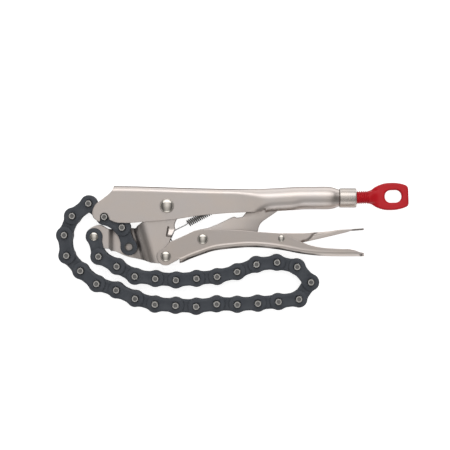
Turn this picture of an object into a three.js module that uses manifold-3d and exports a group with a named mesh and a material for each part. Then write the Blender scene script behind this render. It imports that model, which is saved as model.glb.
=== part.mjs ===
// A locking chain clamp, lying on its side with its chain drawn round and hooked back on the nose.
// Millimetres, +Z up. The tool's own plane is XY: handles towards +X, the chain's loop towards -Y.
// Every hinge axis is parallel to Z. Places are first laid out from the jaw pivot, and the whole
// group is moved at the end so that its origin is the centre of its footprint.

import * as THREE from 'three';
import { mergeVertices } from 'three/addons/utils/BufferGeometryUtils.js';
import Module from 'manifold-3d';

const wasm = await Module();
wasm.setup();

// Chain: a 5/8 inch pitch roller chain with long pins
const PITCH = 15.875;
const LINK_COUNT = 31;
const PLATE_HEIGHT = 13;
const WAIST_HEIGHT = 10.2;
const PLATE_THICKNESS = 2;
const INNER_WIDTH = 6;
const PIN_DIAMETER = 5.08;
const PIN_OVERHANG = 1.3;
const BUSHING_WALL = 1;

// Clearances: between sheets side by side, round a pin, and between a head and its plate
const SIDE_CLEARANCE = 0.3;
const PIN_CLEARANCE = 0.25;
const SEAT_GAP = 0.3;

// Sheet thicknesses
const BODY_SHEET = 2.3;
const JAW_SHEET = 2.4;
const LEVER_SHEET = 2.2;
const RELEASE_SHEET = 1.7;

// Pivots, from the jaw pivot
const LEVER_PIVOT_X = -0.9;
const LEVER_PIVOT_DROP = 38.8;
const LINK_PIVOT_X = 27.5;
const LINK_PIVOT_DROP = 25.5;
const RELEASE_PIVOT_X = 87.9;
const RELEASE_PIVOT_DROP = 25;
const CHAIN_RIVET_X = -56.3;
const CHAIN_RIVET_DROP = 23.6;

// Upper body
const NOSE_REACH = 57.4;
const CHANNEL_REACH = 125.9;
const BODY_RISE = 15.4;
const BODY_DROP = 13.2;
const FOLD_RADIUS = 4.5;
const EDGE_RADIUS = 3;
const TUBE_DIAMETER = 17.5;
const SEAM_WIDTH = 0.6;
const SLOT_WIDTH = 6.1;
const SLOT_DROP = 1.4;
const ROLL_FLAT = 0.05;
const NECK_LENGTH = 6;
const NECK_DIAMETER = 13.3;
const NECK_WALL = 1.3;
const NOTCH_CLEARANCE = 0.45;
const NOTCH_DEPTH = 6;

// Ferrule and screw
const FERRULE_DIAMETER = 14.8;
const FERRULE_LENGTH = 13.6;
const SCREW_HEIGHT = 6.2;
const SCREW_TILT_DEGREES = 1.9;
const SCREW_DIAMETER = 9.6;
const SCREW_CORE_DIAMETER = 8.2;
const SCREW_OUT_LENGTH = 10.8;
const THREAD_PITCH = 1.5875;
const THREADED_LENGTH = 20;
const TIP_DIAMETER = 7.6;
const TIP_LENGTH = 8;
const TIP_BEVEL = 2;
const TIP_GAP = 0.65;
const LOOP_LENGTH = 29;
const LOOP_WIDTH = 20.3;
const LOOP_THICKNESS = 5.6;
const LOOP_BAND = 4.7;
const LOOP_HOLE_LENGTH = 13.4;

// Jaw
const JAW_REACH = 62.8;
const JAW_BOSS_RADIUS = 8.1;
const JAW_DROP = 45.2;
const EAR_THICKNESS = 5.6;
const NECK_THICKNESS = 4;
const SADDLE_CLEARANCE = 0.35;
const LUG_SLIT_WIDTH = 1.4;
const LUG_SLIT_LENGTH = 8;
const LUG_WIDTH = 4.6;

// Lever
const LEVER_NOSE_RADIUS = 6.8;
const LEVER_REACH = 152.9;
const LEVER_RISE = 20.7;
const LEVER_DROP = 7.3;
const LEVER_BEND_RADIUS = 3.2;

// Toggle link
const LINK_THICKNESS = 5;
const LINK_BOSS_RADIUS = 7.7;
const LINK_LENGTH = 50.25;
const LINK_RISE = 28.5;
const LINK_END_RADIUS = 4.6;

// Release lever
const RELEASE_FRONT = 14.8;
const RELEASE_REACH = 64;
const RELEASE_RISE = 7.8;
const RELEASE_DROP = 5.5;
const RELEASE_TAIL_THICKNESS = 1.5;

// Rivets: shaft radius, dome radius and dome height, and the flat tail behind
const JAW_RIVET = { shaft: 3.2, dome: 5.25, height: 2.2 };
const LEVER_RIVET = { shaft: 2.6, dome: 3.95, height: 1.8 };
const LINK_RIVET = { shaft: 2.6, dome: 3.95, height: 1.8 };
const RELEASE_RIVET = { shaft: 1.6, dome: 2.6, height: 1.2 };
const CHAIN_RIVET_HEAD_RADIUS = 3.3;
const CHAIN_RIVET_HEAD_HEIGHT = 1.3;
const TAIL_BEVEL = 0.3;

// Spring
const WIRE_DIAMETER = 0.9;
const COIL_DIAMETER = 4.7;
const COIL_PITCH = 1.5;
const COIL_TURNS = 19.75;
const SPRING_DEPTH = 4.5;
const SPRING_START_X = 16;
const SPRING_START_DROP = 13.6;
const SPRING_RISE_ANGLE = THREE.MathUtils.degToRad(28);
const HOOK_RADIUS = 2.6;
const ANCHOR_THICKNESS = 2;
const ANCHOR_WIDTH = 2.8;
const HOOK_STRAIGHT = 5.2;

// Counts of sides and steps
const PIN_SIDES = 8;
const END_STEPS = 6;
const ROUND_SIDES = 24;
const TUBE_STEPS = 5;
const RIVET_SIDES = 14;
const DOME_STEPS = 3;
const BEND_STEPS = 3;
const COIL_STEPS = 8;
const WIRE_SIDES = 5;

// One overrun serves every cut that has to run past what it cuts
const OVERRUN = 8;
const MERGE_TOLERANCE = 0.00001;

// Half widths from the tool's middle plane, from the chain outwards
const innerPlateIn = INNER_WIDTH / 2;
const innerPlateOut = innerPlateIn + PLATE_THICKNESS;
const outerPlateIn = innerPlateOut + SIDE_CLEARANCE;
const outerPlateOut = outerPlateIn + PLATE_THICKNESS;
const wallIn = outerPlateOut + SIDE_CLEARANCE;
const bodyHalf = wallIn + BODY_SHEET;
const leverHalf = wallIn + LEVER_SHEET;
const jawHalf = outerPlateOut;
const jawWallIn = jawHalf - JAW_SHEET;
const releaseHalf = wallIn - 2 * SIDE_CLEARANCE;
const restDepth = bodyHalf + PIN_OVERHANG;

const pinRadius = PIN_DIAMETER / 2;
const boreRadius = (pinRadius + PIN_CLEARANCE) / Math.cos(Math.PI / PIN_SIDES);
const bushingRadius = boreRadius + BUSHING_WALL;
const tubeRadius = TUBE_DIAMETER / 2;

const jawPivot = new THREE.Vector2(0, 0);
const leverPivot = new THREE.Vector2(LEVER_PIVOT_X, -LEVER_PIVOT_DROP);
const linkPivot = new THREE.Vector2(LINK_PIVOT_X, -LINK_PIVOT_DROP);
const releasePivot = new THREE.Vector2(RELEASE_PIVOT_X, -RELEASE_PIVOT_DROP);
const chainRivet = new THREE.Vector2(CHAIN_RIVET_X, -CHAIN_RIVET_DROP);

// Finishes
const finish = (color, roughness, metalness) =>
  new THREE.MeshStandardMaterial({ color, roughness, metalness });
const NICKEL = finish(0xcfcac0, 0.34, 1);
const BRIGHT = finish(0xe2e0da, 0.18, 1);
const CHAIN_STEEL = finish(0x3b4249, 0.45, 0.9);
const SPRING_STEEL = finish(0xb9b4a8, 0.3, 1);
const RED_PAINT = finish(0xc22a35, 0.4, 0);

/** Turns a closed BufferGeometry into a solid. */
function solidOf(geometry) {
  const bare = geometry.index ? geometry.toNonIndexed() : geometry.clone();
  bare.deleteAttribute('normal');
  bare.deleteAttribute('uv');
  const merged = mergeVertices(bare, MERGE_TOLERANCE);
  const index = merged.index.array;
  const kept = [];
  for (let i = 0; i < index.length; i += 3) {
    const [a, b, c] = [index[i], index[i + 1], index[i + 2]];
    if (a !== b && b !== c && c !== a) kept.push(a, b, c);
  }
  const solidFrom = (triangles) => new wasm.Manifold(new wasm.Mesh({
    numProp: 3,
    vertProperties: new Float32Array(merged.attributes.position.array),
    triVerts: new Uint32Array(triangles),
  }));
  const solid = solidFrom(kept);
  return solid.volume() < 0 ? solidFrom(kept.toReversed()) : solid;
}

/** Turns a solid back into a BufferGeometry with flat faces. */
function geometryOf(solid) {
  const mesh = solid.getMesh();
  const geometry = new THREE.BufferGeometry();
  geometry.setAttribute('position', new THREE.BufferAttribute(mesh.vertProperties, 3));
  geometry.setIndex(new THREE.BufferAttribute(mesh.triVerts, 1));
  return geometry;
}

/** The union of several solids. */
const join = (...solids) => solids.reduce((whole, next) => whole.add(next));

/** A plate with the given outline, between two depths. */
function plate(outline, low, high) {
  const shape = new THREE.Shape(outline);
  const geometry = new THREE.ExtrudeGeometry(shape, { depth: high - low, bevelEnabled: false });
  geometry.translate(0, 0, low);
  return solidOf(geometry);
}

/** Two plates with the same outline, one on each side of the middle plane. */
const platePair = (outline, inner, outer) =>
  join(plate(outline, inner, outer), plate(outline, -outer, -inner));

/** Points of an arc about a centre, both ends included. */
function arc(centre, radius, from, to, steps) {
  const points = [];
  for (let i = 0; i <= steps; i += 1) {
    const angle = from + ((to - from) * i) / steps;
    points.push(new THREE.Vector2(
      centre.x + radius * Math.cos(angle),
      centre.y + radius * Math.sin(angle),
    ));
  }
  return points;
}

/** A round bar across the tool, with its axis through the given point. */
function bar(centre, radius, low, high, sides) {
  const points = arc(centre, radius, 0, 2 * Math.PI * (1 - 1 / sides), sides - 1);
  return plate(points, low, high);
}

/** A solid of revolution about X from a profile of [place along X, radius] pairs. */
function turned(profile, y, sides) {
  const geometry = new THREE.LatheGeometry(
    profile.map(([x, radius]) => new THREE.Vector2(radius, x)), sides);
  geometry.rotateZ(-Math.PI / 2);
  geometry.translate(0, y, 0);
  return solidOf(geometry);
}

/** Scales outline shares by the reaches of a piece, measured from its own pivot. */
function scaled(shares, pivot, reach) {
  return shares.map(([x, y]) => new THREE.Vector2(
    pivot.x + x * (x < 0 ? reach.left : reach.right),
    pivot.y + y * (y < 0 ? reach.down : reach.up),
  ));
}

/** The value at a place in a table of [place, value] rows, straight between the rows. */
function along(rows, place) {
  if (place <= rows[0][0]) return rows[0][1];
  for (let i = 1; i < rows.length; i += 1) {
    const [[fromPlace, fromValue], [toPlace, toValue]] = [rows[i - 1], rows[i]];
    if (place <= toPlace) {
      return THREE.MathUtils.mapLinear(place, fromPlace, toPlace, fromValue, toValue);
    }
  }
  return rows[rows.length - 1][1];
}

/** The triangles of a flat cap, wound the way its contour runs. */
function capOf(contour) {
  const faces = THREE.ShapeUtils.triangulateShape(contour, []);
  return THREE.ShapeUtils.area(contour) < 0 ? faces.map(([a, b, c]) => [a, c, b]) : faces;
}

/** A closed solid through rings of equally many points. Each ring is one simple loop. */
function loft(rings, capOutline) {
  const count = rings[0].length;
  const positions = rings.flat().flatMap((point) => point.toArray());
  const index = [];
  for (let r = 0; r + 1 < rings.length; r += 1) {
    for (let i = 0; i < count; i += 1) {
      const next = (i + 1) % count;
      const [a, b] = [r * count + i, r * count + next];
      const [c, d] = [a + count, b + count];
      index.push(a, c, b, b, c, d);
    }
  }
  const last = (rings.length - 1) * count;
  index.push(...capOf(capOutline(rings[0])).flat());
  for (const [a, b, c] of capOf(capOutline(rings.at(-1)))) index.push(last + a, last + c, last + b);
  const geometry = new THREE.BufferGeometry();
  geometry.setAttribute('position', new THREE.Float32BufferAttribute(positions, 3));
  geometry.setIndex(index);
  return solidOf(geometry);
}

/** The two coordinates of a ring that stands square to X. */
const acrossX = (ring) => ring.map((point) => new THREE.Vector2(point.y, point.z));

/** A tube of round wire along points, with flat closed ends. */
function wire(points, radius, sides) {
  const rings = [];
  const tangentAt = (i) => new THREE.Vector3()
    .subVectors(points[Math.min(i + 1, points.length - 1)], points[Math.max(i - 1, 0)])
    .normalize();
  let across = new THREE.Vector3(0, 0, 1);
  if (Math.abs(tangentAt(0).dot(across)) > Math.SQRT1_2) across.set(0, 1, 0);
  points.forEach((point, i) => {
    const tangent = tangentAt(i);
    across = across.clone().addScaledVector(tangent, -across.dot(tangent)).normalize();
    const other = new THREE.Vector3().crossVectors(tangent, across);
    const ring = [];
    for (let s = 0; s < sides; s += 1) {
      const angle = (2 * Math.PI * s) / sides;
      ring.push(point.clone()
        .addScaledVector(across, radius * Math.cos(angle))
        .addScaledVector(other, radius * Math.sin(angle)));
    }
    rings.push(ring);
  });
  const flat = (ring) => ring.map((_, s) => new THREE.Vector2(
    Math.cos((2 * Math.PI * s) / sides), Math.sin((2 * Math.PI * s) / sides)));
  return loft(rings, flat);
}

// The chain's route: the heading of each link in degrees, anticlockwise from +X, chosen by hand
const LINK_HEADINGS = [
  -76.3, -28.5, -29, -6.3, -4, 4.5, 5, 13.8, 20.9, 5.6, -12.4, -48.4, -125.2, -172.8, -175.3,
  -176.9, -181.4, -173, -182.8, -183.3, -196.1, -204.3, -197.7, -219, -227.5, -263.6, -292.5,
  -322.6, -400.4, -390.9, -431.3,
];

/** The pin places of the chain, from the rivet in the jaw to the free end. */
function chainPins() {
  const pins = [chainRivet.clone()];
  for (let i = 0; i < LINK_COUNT; i += 1) {
    const heading = THREE.MathUtils.degToRad(LINK_HEADINGS[i]);
    const last = pins[i];
    pins.push(new THREE.Vector2(
      last.x + PITCH * Math.cos(heading), last.y + PITCH * Math.sin(heading)));
  }
  return pins;
}

const pins = chainPins();
const hookedPin = pins[LINK_COUNT - 2];
const saddlePin = pins[LINK_COUNT - 1];

/** The waisted outline of one link plate, from a pin at the origin to one at a pitch along X. */
function linkOutline() {
  const endArc = THREE.MathUtils.degToRad(64);
  const left = arc(new THREE.Vector2(0, 0), PLATE_HEIGHT / 2,
    endArc, 2 * Math.PI - endArc, END_STEPS);
  const right = arc(new THREE.Vector2(PITCH, 0), PLATE_HEIGHT / 2,
    endArc - Math.PI, Math.PI - endArc, END_STEPS);
  const waist = (side) => new THREE.Vector2(PITCH / 2, (side * WAIST_HEIGHT) / 2);
  return [...left, waist(-1), ...right, waist(1)];
}

/** An outer link: two plates on two long pins. */
function outerLink() {
  const plates = platePair(linkOutline(), outerPlateIn, outerPlateOut);
  const pinAt = (x) => bar(new THREE.Vector2(x, 0), pinRadius, -restDepth, restDepth, PIN_SIDES);
  return join(plates, pinAt(0), pinAt(PITCH));
}

/** An inner link: two plates with a bushing at each end that carries one, and bores for the pins. */
function innerLink(bushings) {
  let link = platePair(linkOutline(), innerPlateIn, innerPlateOut);
  const overlap = PLATE_THICKNESS / 2;
  for (const end of bushings) {
    const centre = new THREE.Vector2(end * PITCH, 0);
    const reach = innerPlateIn + overlap;
    link = link.add(bar(centre, bushingRadius, -reach, reach, PIN_SIDES));
  }
  for (const end of [0, 1]) {
    const centre = new THREE.Vector2(end * PITCH, 0);
    const reach = innerPlateOut + OVERRUN;
    link = link.subtract(bar(centre, boreRadius, -reach, reach, PIN_SIDES));
  }
  return link;
}

// Side outline of the nose and the lower edge of the channel, in shares of the body's reaches
const NOSE_SHARES = [
  [-0.713, 0.996], [-0.737, 0.761], [-0.793, 0.545], [-0.905, 0.23], [-0.956, 0.065],
  [-0.984, -0.117], [-0.999, -0.356], [-1, -0.485], [-0.977, -0.724], [-0.922, -0.899],
];
const LOWER_EDGE_SHARES = [
  [-0.749, -0.776], [-0.703, -0.922], [-0.659, -0.992], [-0.502, -0.992], [-0.346, -0.922],
  [-0.162, -0.887], [0.051, -0.782], [0.121, -0.648], [0.275, -0.49], [0.373, -0.403],
  [0.483, -0.362], [0.556, -0.356], [0.62, -0.4],
];
// Where the channel's top lies, and how far it has rolled into a tube and closed below
const TOP_SHARES = [
  [-1, 0.996], [-0.713, 0.996], [0.2, 0.886], [0.446, 0.851], [0.544, 0.851], [0.72, 0.92],
  [0.82, 0.966], [1, 0.966],
];
const ROLL_SHARES = [[0.4, 0], [0.56, 0.7], [0.62, 1]];
const SLOT_SHARES = [[0.76, 0], [0.84, 1]];
const STATION_SHARES = [-1.1, -0.713, 0.2, 0.4, 0.446, 0.5, 0.56, 0.62, 0.72, 0.76, 0.84, 1];

/** One C-shaped ring of the body's sheet, square to X. */
function bodyRing(x, {
  top, half, foldRadius, bottom, edgeRadius, sweep, sheet,
}) {
  const path = (inset) => {
    const [topRadius, lowRadius] = [foldRadius - inset, edgeRadius - inset];
    const topCentre = { y: top - foldRadius, z: half - foldRadius };
    const lowCentre = { y: bottom + edgeRadius, z: half - edgeRadius };
    const side = [];
    for (let i = TUBE_STEPS; i >= 0; i -= 1) {
      const angle = (sweep * i) / TUBE_STEPS;
      side.push([lowCentre.y - lowRadius * Math.sin(angle),
        lowCentre.z + lowRadius * Math.cos(angle)]);
    }
    for (let i = 0; i <= TUBE_STEPS; i += 1) {
      const angle = (Math.PI / 2) * (i / TUBE_STEPS);
      side.push([topCentre.y + topRadius * Math.sin(angle),
        topCentre.z + topRadius * Math.cos(angle)]);
    }
    const far = side.map(([y, z]) => [y, -z]).reverse();
    return [...side, ...far];
  };
  const outer = path(0);
  const inner = path(sheet).reverse();
  return [...outer, ...inner].map(([y, z]) => new THREE.Vector3(x, y, z));
}

/** The upper body: a channel folded over at the top that closes into a tube behind. */
function upperBody() {
  const reach = { left: NOSE_REACH, right: CHANNEL_REACH, up: BODY_RISE, down: BODY_DROP };
  const channelBottom = -BODY_DROP - OVERRUN;
  const openSweep = THREE.MathUtils.degToRad(4);
  const bore = TUBE_DIAMETER - 2 * BODY_SHEET;
  const slotSweep = Math.acos(SLOT_WIDTH / bore);
  const seamSweep = Math.acos(SEAM_WIDTH / bore);
  const place = (share) => share * (share < 0 ? NOSE_REACH : CHANNEL_REACH);
  const { lerp } = THREE.MathUtils;
  const rings = STATION_SHARES.map((share) => {
    const roll = along(ROLL_SHARES, share);
    const top = along(TOP_SHARES, share) * BODY_RISE;
    const closing = along(SLOT_SHARES, share);
    const closed = lerp(slotSweep, seamSweep, closing);
    return bodyRing(place(share), {
      top,
      half: lerp(bodyHalf, tubeRadius, roll),
      foldRadius: lerp(FOLD_RADIUS, tubeRadius - ROLL_FLAT, roll),
      bottom: lerp(channelBottom, top - TUBE_DIAMETER - SLOT_DROP * (1 - closing), roll),
      edgeRadius: lerp(EDGE_RADIUS, tubeRadius - ROLL_FLAT, roll),
      sweep: lerp(openSweep, closed, roll),
      sheet: BODY_SHEET,
    });
  });
  const neckTop = along(TOP_SHARES, 1) * BODY_RISE - (TUBE_DIAMETER - NECK_DIAMETER) / 2;
  rings.push(bodyRing(CHANNEL_REACH + NECK_LENGTH, {
    top: neckTop,
    half: NECK_DIAMETER / 2,
    foldRadius: NECK_DIAMETER / 2 - ROLL_FLAT,
    bottom: neckTop - NECK_DIAMETER,
    edgeRadius: NECK_DIAMETER / 2 - ROLL_FLAT,
    sweep: seamSweep,
    sheet: NECK_WALL,
  }));
  const behind = CHANNEL_REACH + NECK_LENGTH + OVERRUN;
  const outline = [
    ...scaled(NOSE_SHARES, jawPivot, reach),
    ...scaled(LOWER_EDGE_SHARES, jawPivot, reach),
    new THREE.Vector2(behind, -BODY_DROP),
    new THREE.Vector2(behind, BODY_RISE + OVERRUN),
    new THREE.Vector2(NOSE_SHARES[0][0] * NOSE_REACH, BODY_RISE + OVERRUN),
  ];
  const depth = bodyHalf + OVERRUN;
  let body = loft(rings, acrossX).intersect(plate(outline, -depth, depth));
  const notchRadius = pinRadius + NOTCH_CLEARANCE;
  const notch = [
    ...arc(hookedPin, notchRadius, 0, Math.PI, END_STEPS),
    new THREE.Vector2(hookedPin.x - notchRadius, hookedPin.y - NOTCH_DEPTH),
    new THREE.Vector2(hookedPin.x + 2 * notchRadius, hookedPin.y - NOTCH_DEPTH),
  ];
  body = body.subtract(plate(notch, -depth, depth));
  const hole = bar(jawPivot, JAW_RIVET.shaft + PIN_CLEARANCE, -depth, depth, ROUND_SIDES);
  return body.subtract(hole).add(springAnchor());
}

// Where the spring's coils begin and end, and the direction in which they run
const springAxis = new THREE.Vector3(
  Math.cos(SPRING_RISE_ANGLE), Math.sin(SPRING_RISE_ANGLE), 0);
const coilStart = new THREE.Vector3(SPRING_START_X, -SPRING_START_DROP, SPRING_DEPTH);
const coilEnd = coilStart.clone().addScaledVector(springAxis, COIL_PITCH * COIL_TURNS);
const anchorPlace = coilEnd.clone().addScaledVector(springAxis, HOOK_STRAIGHT);

/** The tongue inside the channel that holds the spring's far hook. */
function springAnchor() {
  const half = ANCHOR_THICKNESS / 2;
  const outline = [
    new THREE.Vector2(anchorPlace.x - half, anchorPlace.y - ANCHOR_WIDTH / 2),
    new THREE.Vector2(anchorPlace.x + half, anchorPlace.y - ANCHOR_WIDTH / 2),
    new THREE.Vector2(anchorPlace.x + half, anchorPlace.y + ANCHOR_WIDTH / 2),
    new THREE.Vector2(anchorPlace.x - half, anchorPlace.y + ANCHOR_WIDTH / 2),
  ];
  return plate(outline, SPRING_DEPTH - HOOK_RADIUS, wallIn + BODY_SHEET / 2);
}

/** The ferrule pressed on the end of the tube, bored for the screw. */
function ferrule() {
  const start = CHANNEL_REACH + NECK_LENGTH + SEAT_GAP;
  const end = start + FERRULE_LENGTH;
  const bore = (SCREW_DIAMETER / 2 + PIN_CLEARANCE) / Math.cos(Math.PI / ROUND_SIDES);
  const outer = FERRULE_DIAMETER / 2;
  const edge = FERRULE_DIAMETER / ROUND_SIDES;
  return turned([
    [start, bore], [end, bore], [end, outer - edge], [end - edge, outer],
    [start + edge, outer], [start, outer - edge], [start, bore],
  ], SCREW_HEIGHT, ROUND_SIDES);
}

// Places along the screw
const tipFace = LINK_PIVOT_X + LINK_LENGTH + LINK_END_RADIUS + TIP_GAP;
const screwStart = tipFace + TIP_LENGTH + SEAT_GAP;
const ferruleEnd = CHANNEL_REACH + NECK_LENGTH + SEAT_GAP + FERRULE_LENGTH;
const shankEnd = ferruleEnd + SCREW_OUT_LENGTH;
const loopEnd = shankEnd + LOOP_LENGTH;
const ferruleMiddle = ferruleEnd - FERRULE_LENGTH / 2;

/** A solid of the screw, tilted in the ferrule by the play of its thread. */
function tilted(solid) {
  return solid.translate([-ferruleMiddle, -SCREW_HEIGHT, 0])
    .rotate([0, 0, SCREW_TILT_DEGREES])
    .translate([ferruleMiddle, SCREW_HEIGHT, 0]);
}

/** The plain end of the screw, which bears on the toggle link and is bevelled to let it swing past. */
function screwTip() {
  const radius = TIP_DIAMETER / 2;
  return tilted(turned([
    [tipFace, 0], [tipFace, radius - TIP_BEVEL], [tipFace + TIP_BEVEL, radius],
    [tipFace + TIP_LENGTH, radius], [tipFace + TIP_LENGTH, 0],
  ], SCREW_HEIGHT, ROUND_SIDES));
}

/** The loop's outline: a waist at the shank, full width at the middle and a blunt end. */
function loopOutline() {
  const [half, shank] = [LOOP_WIDTH / 2, SCREW_DIAMETER / 2];
  const top = [
    [-0.1, shank * 0.9], [0.12, shank * 1.02], [0.3, half * 0.78], [0.46, half * 0.95],
    [0.62, half], [0.8, half], [0.92, half * 0.93], [0.985, half * 0.76], [1, half * 0.6],
  ].map(([share, y]) => [shankEnd + share * LOOP_LENGTH, y]);
  const bottom = top.map(([x, y]) => [x, -y]).reverse();
  return [...top, ...bottom].map(([x, y]) => new THREE.Vector2(x, SCREW_HEIGHT + y)).reverse();
}

/** The rounded hole through the loop. */
function loopHole() {
  const halfHeight = LOOP_WIDTH / 2 - LOOP_BAND;
  const right = loopEnd - LOOP_BAND - SIDE_CLEARANCE;
  const corner = halfHeight * 0.7;
  const centres = [
    [right - corner, halfHeight - corner, 0], [right - LOOP_HOLE_LENGTH + corner,
      halfHeight - corner, Math.PI / 2],
    [right - LOOP_HOLE_LENGTH + corner, corner - halfHeight, Math.PI],
    [right - corner, corner - halfHeight, (3 * Math.PI) / 2],
  ];
  return centres.flatMap(([x, y, from]) =>
    arc(new THREE.Vector2(x, SCREW_HEIGHT + y), corner, from, from + Math.PI / 2, BEND_STEPS));
}

/** The adjusting screw with its loop handle, one bar. */
function adjustingScrew() {
  const [radius, core] = [SCREW_DIAMETER / 2, SCREW_CORE_DIAMETER / 2];
  const ridgesFrom = shankEnd - THREADED_LENGTH;
  const profile = [[screwStart, 0], [screwStart, core], [ridgesFrom, core]];
  for (let x = ridgesFrom; x + THREAD_PITCH < shankEnd; x += THREAD_PITCH) {
    profile.push([x + THREAD_PITCH * 0.35, radius], [x + THREAD_PITCH * 0.65, radius],
      [x + THREAD_PITCH, core]);
  }
  profile.push([shankEnd, core], [shankEnd + LOOP_LENGTH * 0.1, radius],
    [shankEnd + LOOP_LENGTH * 0.1, 0]);
  const shank = turned(profile, SCREW_HEIGHT, ROUND_SIDES / 2);
  const half = LOOP_THICKNESS / 2;
  const bevel = LOOP_THICKNESS * 0.28;
  const shape = new THREE.Shape(loopOutline());
  shape.holes.push(new THREE.Path(loopHole()));
  const geometry = new THREE.ExtrudeGeometry(shape, {
    depth: LOOP_THICKNESS - 2 * bevel,
    bevelSize: bevel,
    bevelOffset: -bevel,
    bevelThickness: bevel,
    bevelSegments: 1,
  });
  geometry.translate(0, 0, bevel - half);
  return tilted(shank.add(solidOf(geometry)));
}

// Side outline of the jaw, in shares of its reaches from the jaw pivot
const EAR_TOP_SHARES = [
  [-0.977, -0.607], [-1, -0.522], [-0.985, -0.436], [-0.94, -0.377], [-0.885, -0.338],
  [-0.832, -0.322], [-0.751, -0.375], [-0.725, -0.397], [-0.652, -0.397],
];
const FLARE_TOP_SHARES = [
  [-0.443, -0.377], [-0.382, -0.377], [-0.367, -0.343], [-0.306, -0.276], [-0.21, -0.138],
];
const JAW_REAR_SHARES = [
  [0.942, -0.213], [0.685, -0.334], [0.752, -0.394], [0.257, -0.6],
];
const JAW_LOWER_SHARES = [
  [-0.21, -0.965], [-0.291, -0.916], [-0.459, -0.88], [-0.562, -0.823], [-0.654, -0.765],
  [-0.685, -0.774], [-0.715, -0.731], [-0.782, -0.731], [-0.897, -0.667],
];
// Half thickness of the jaw from the front: ear, neck, and the flare out to the two walls
const FLARE_START_SHARE = 0.351;
const FLARE_END_SHARE = 0.16;
const EAR_STEP_SHARES = [0.71, 0.66];

/** The lower jaw: a solid ear and neck in front that open into two walls behind. */
function lowerJaw() {
  const reach = {
    left: JAW_REACH, right: JAW_BOSS_RADIUS, up: JAW_BOSS_RADIUS, down: JAW_DROP,
  };
  const leverBoss = JAW_DROP - LEVER_PIVOT_DROP;
  const outline = [
    ...scaled(EAR_TOP_SHARES, jawPivot, reach),
    ...scaled(FLARE_TOP_SHARES, jawPivot, reach),
    ...arc(jawPivot, JAW_BOSS_RADIUS, Math.PI, 0, 2 * END_STEPS),
    ...scaled(JAW_REAR_SHARES, jawPivot, reach),
    ...arc(leverPivot, leverBoss, 0.35 * Math.PI, -0.7 * Math.PI, END_STEPS),
    ...scaled(JAW_LOWER_SHARES, jawPivot, reach),
  ].reverse();
  const [ear, neck] = [EAR_THICKNESS / 2, NECK_THICKNESS / 2];
  const front = -JAW_REACH - OVERRUN;
  const [flareStart, flareEnd] = [-FLARE_START_SHARE * JAW_REACH, -FLARE_END_SHARE * JAW_REACH];
  const behind = JAW_BOSS_RADIUS + OVERRUN;
  const side = [
    [front, ear], [-EAR_STEP_SHARES[0] * JAW_REACH, ear],
    [-EAR_STEP_SHARES[1] * JAW_REACH, neck], [flareStart, neck], [flareEnd, jawHalf],
    [behind, jawHalf],
  ];
  const cavityStart = flareStart + (flareEnd - flareStart) * 0.25;
  const cavity = [[cavityStart, 0], [flareEnd, jawWallIn], [behind + OVERRUN, jawWallIn]];
  const mirrored = (half) => half.map(([x, z]) => [x, 0 - z]).reverse();
  const layer = (half) => {
    const far = mirrored(half).filter(([, z]) => z !== 0);
    const points = [...half, ...far].map(([x, z]) => new THREE.Vector2(x, z));
    const geometry = new THREE.ExtrudeGeometry(new THREE.Shape(points),
      { depth: 2 * JAW_DROP + 2 * OVERRUN, bevelEnabled: false });
    geometry.rotateX(Math.PI / 2);
    geometry.translate(0, JAW_DROP, 0);
    return solidOf(geometry);
  };
  const depth = jawHalf + OVERRUN;
  const cuts = [
    layer(cavity),
    bar(jawPivot, JAW_RIVET.shaft + PIN_CLEARANCE, -depth, depth, ROUND_SIDES),
    bar(leverPivot, LEVER_RIVET.shaft + PIN_CLEARANCE, -depth, depth, ROUND_SIDES),
    bar(chainRivet, boreRadius, -depth, depth, PIN_SIDES),
    bar(saddlePin, bushingRadius + SADDLE_CLEARANCE, -depth, depth, ROUND_SIDES),
    lugSlit(),
  ];
  const whole = plate(outline, -depth, depth).intersect(layer(side));
  return cuts.reduce((solid, cut) => solid.subtract(cut), whole);
}

// The spring's near hook goes round a strip of the jaw's near wall, between its rear edge and a slit
const lugCentre = new THREE.Vector2(0.62 * JAW_BOSS_RADIUS, -0.437 * JAW_DROP);

/** The slit in the jaw's near wall that the spring's hook passes through. */
function lugSlit() {
  const x = lugCentre.x - LUG_WIDTH;
  const outline = [
    new THREE.Vector2(x - LUG_SLIT_WIDTH / 2, lugCentre.y - LUG_SLIT_LENGTH / 2),
    new THREE.Vector2(x + LUG_SLIT_WIDTH / 2, lugCentre.y - LUG_SLIT_LENGTH / 2),
    new THREE.Vector2(x + LUG_SLIT_WIDTH / 2, lugCentre.y + LUG_SLIT_LENGTH / 2),
    new THREE.Vector2(x - LUG_SLIT_WIDTH / 2, lugCentre.y + LUG_SLIT_LENGTH / 2),
  ];
  return plate(outline, 0, jawHalf + OVERRUN);
}

// Side outline of the lever, in shares of its reaches from its pivot on the jaw
const LEVER_WALL_SHARES = [
  [-0.215, -0.992], [0.055, -0.486], [0.08, -0.2], [0.087, 0.659], [0.018, 0.506],
];
const LEVER_TOP_SHARES = [
  [0.018, 0.506], [0.087, 0.659], [0.144, 0.927], [0.174, 0.998], [0.247, 0.998],
  [0.384, 0.968], [0.469, 0.89], [0.595, 0.838], [0.61, 0.793], [0.691, 0.499],
  [0.762, 0.342], [0.888, 0.261], [0.943, 0.261], [1, 0.1],
];
const LEVER_BOTTOM_SHARES = [
  [0.069, -0.707], [0.12, -0.3], [0.172, 0.037], [0.249, 0.216], [0.33, 0.29], [0.419, 0.339],
  [0.474, 0.328], [0.582, 0.235], [0.691, 0.074], [0.797, 0.007], [0.943, 0.007], [1, -0.011],
];

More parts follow.
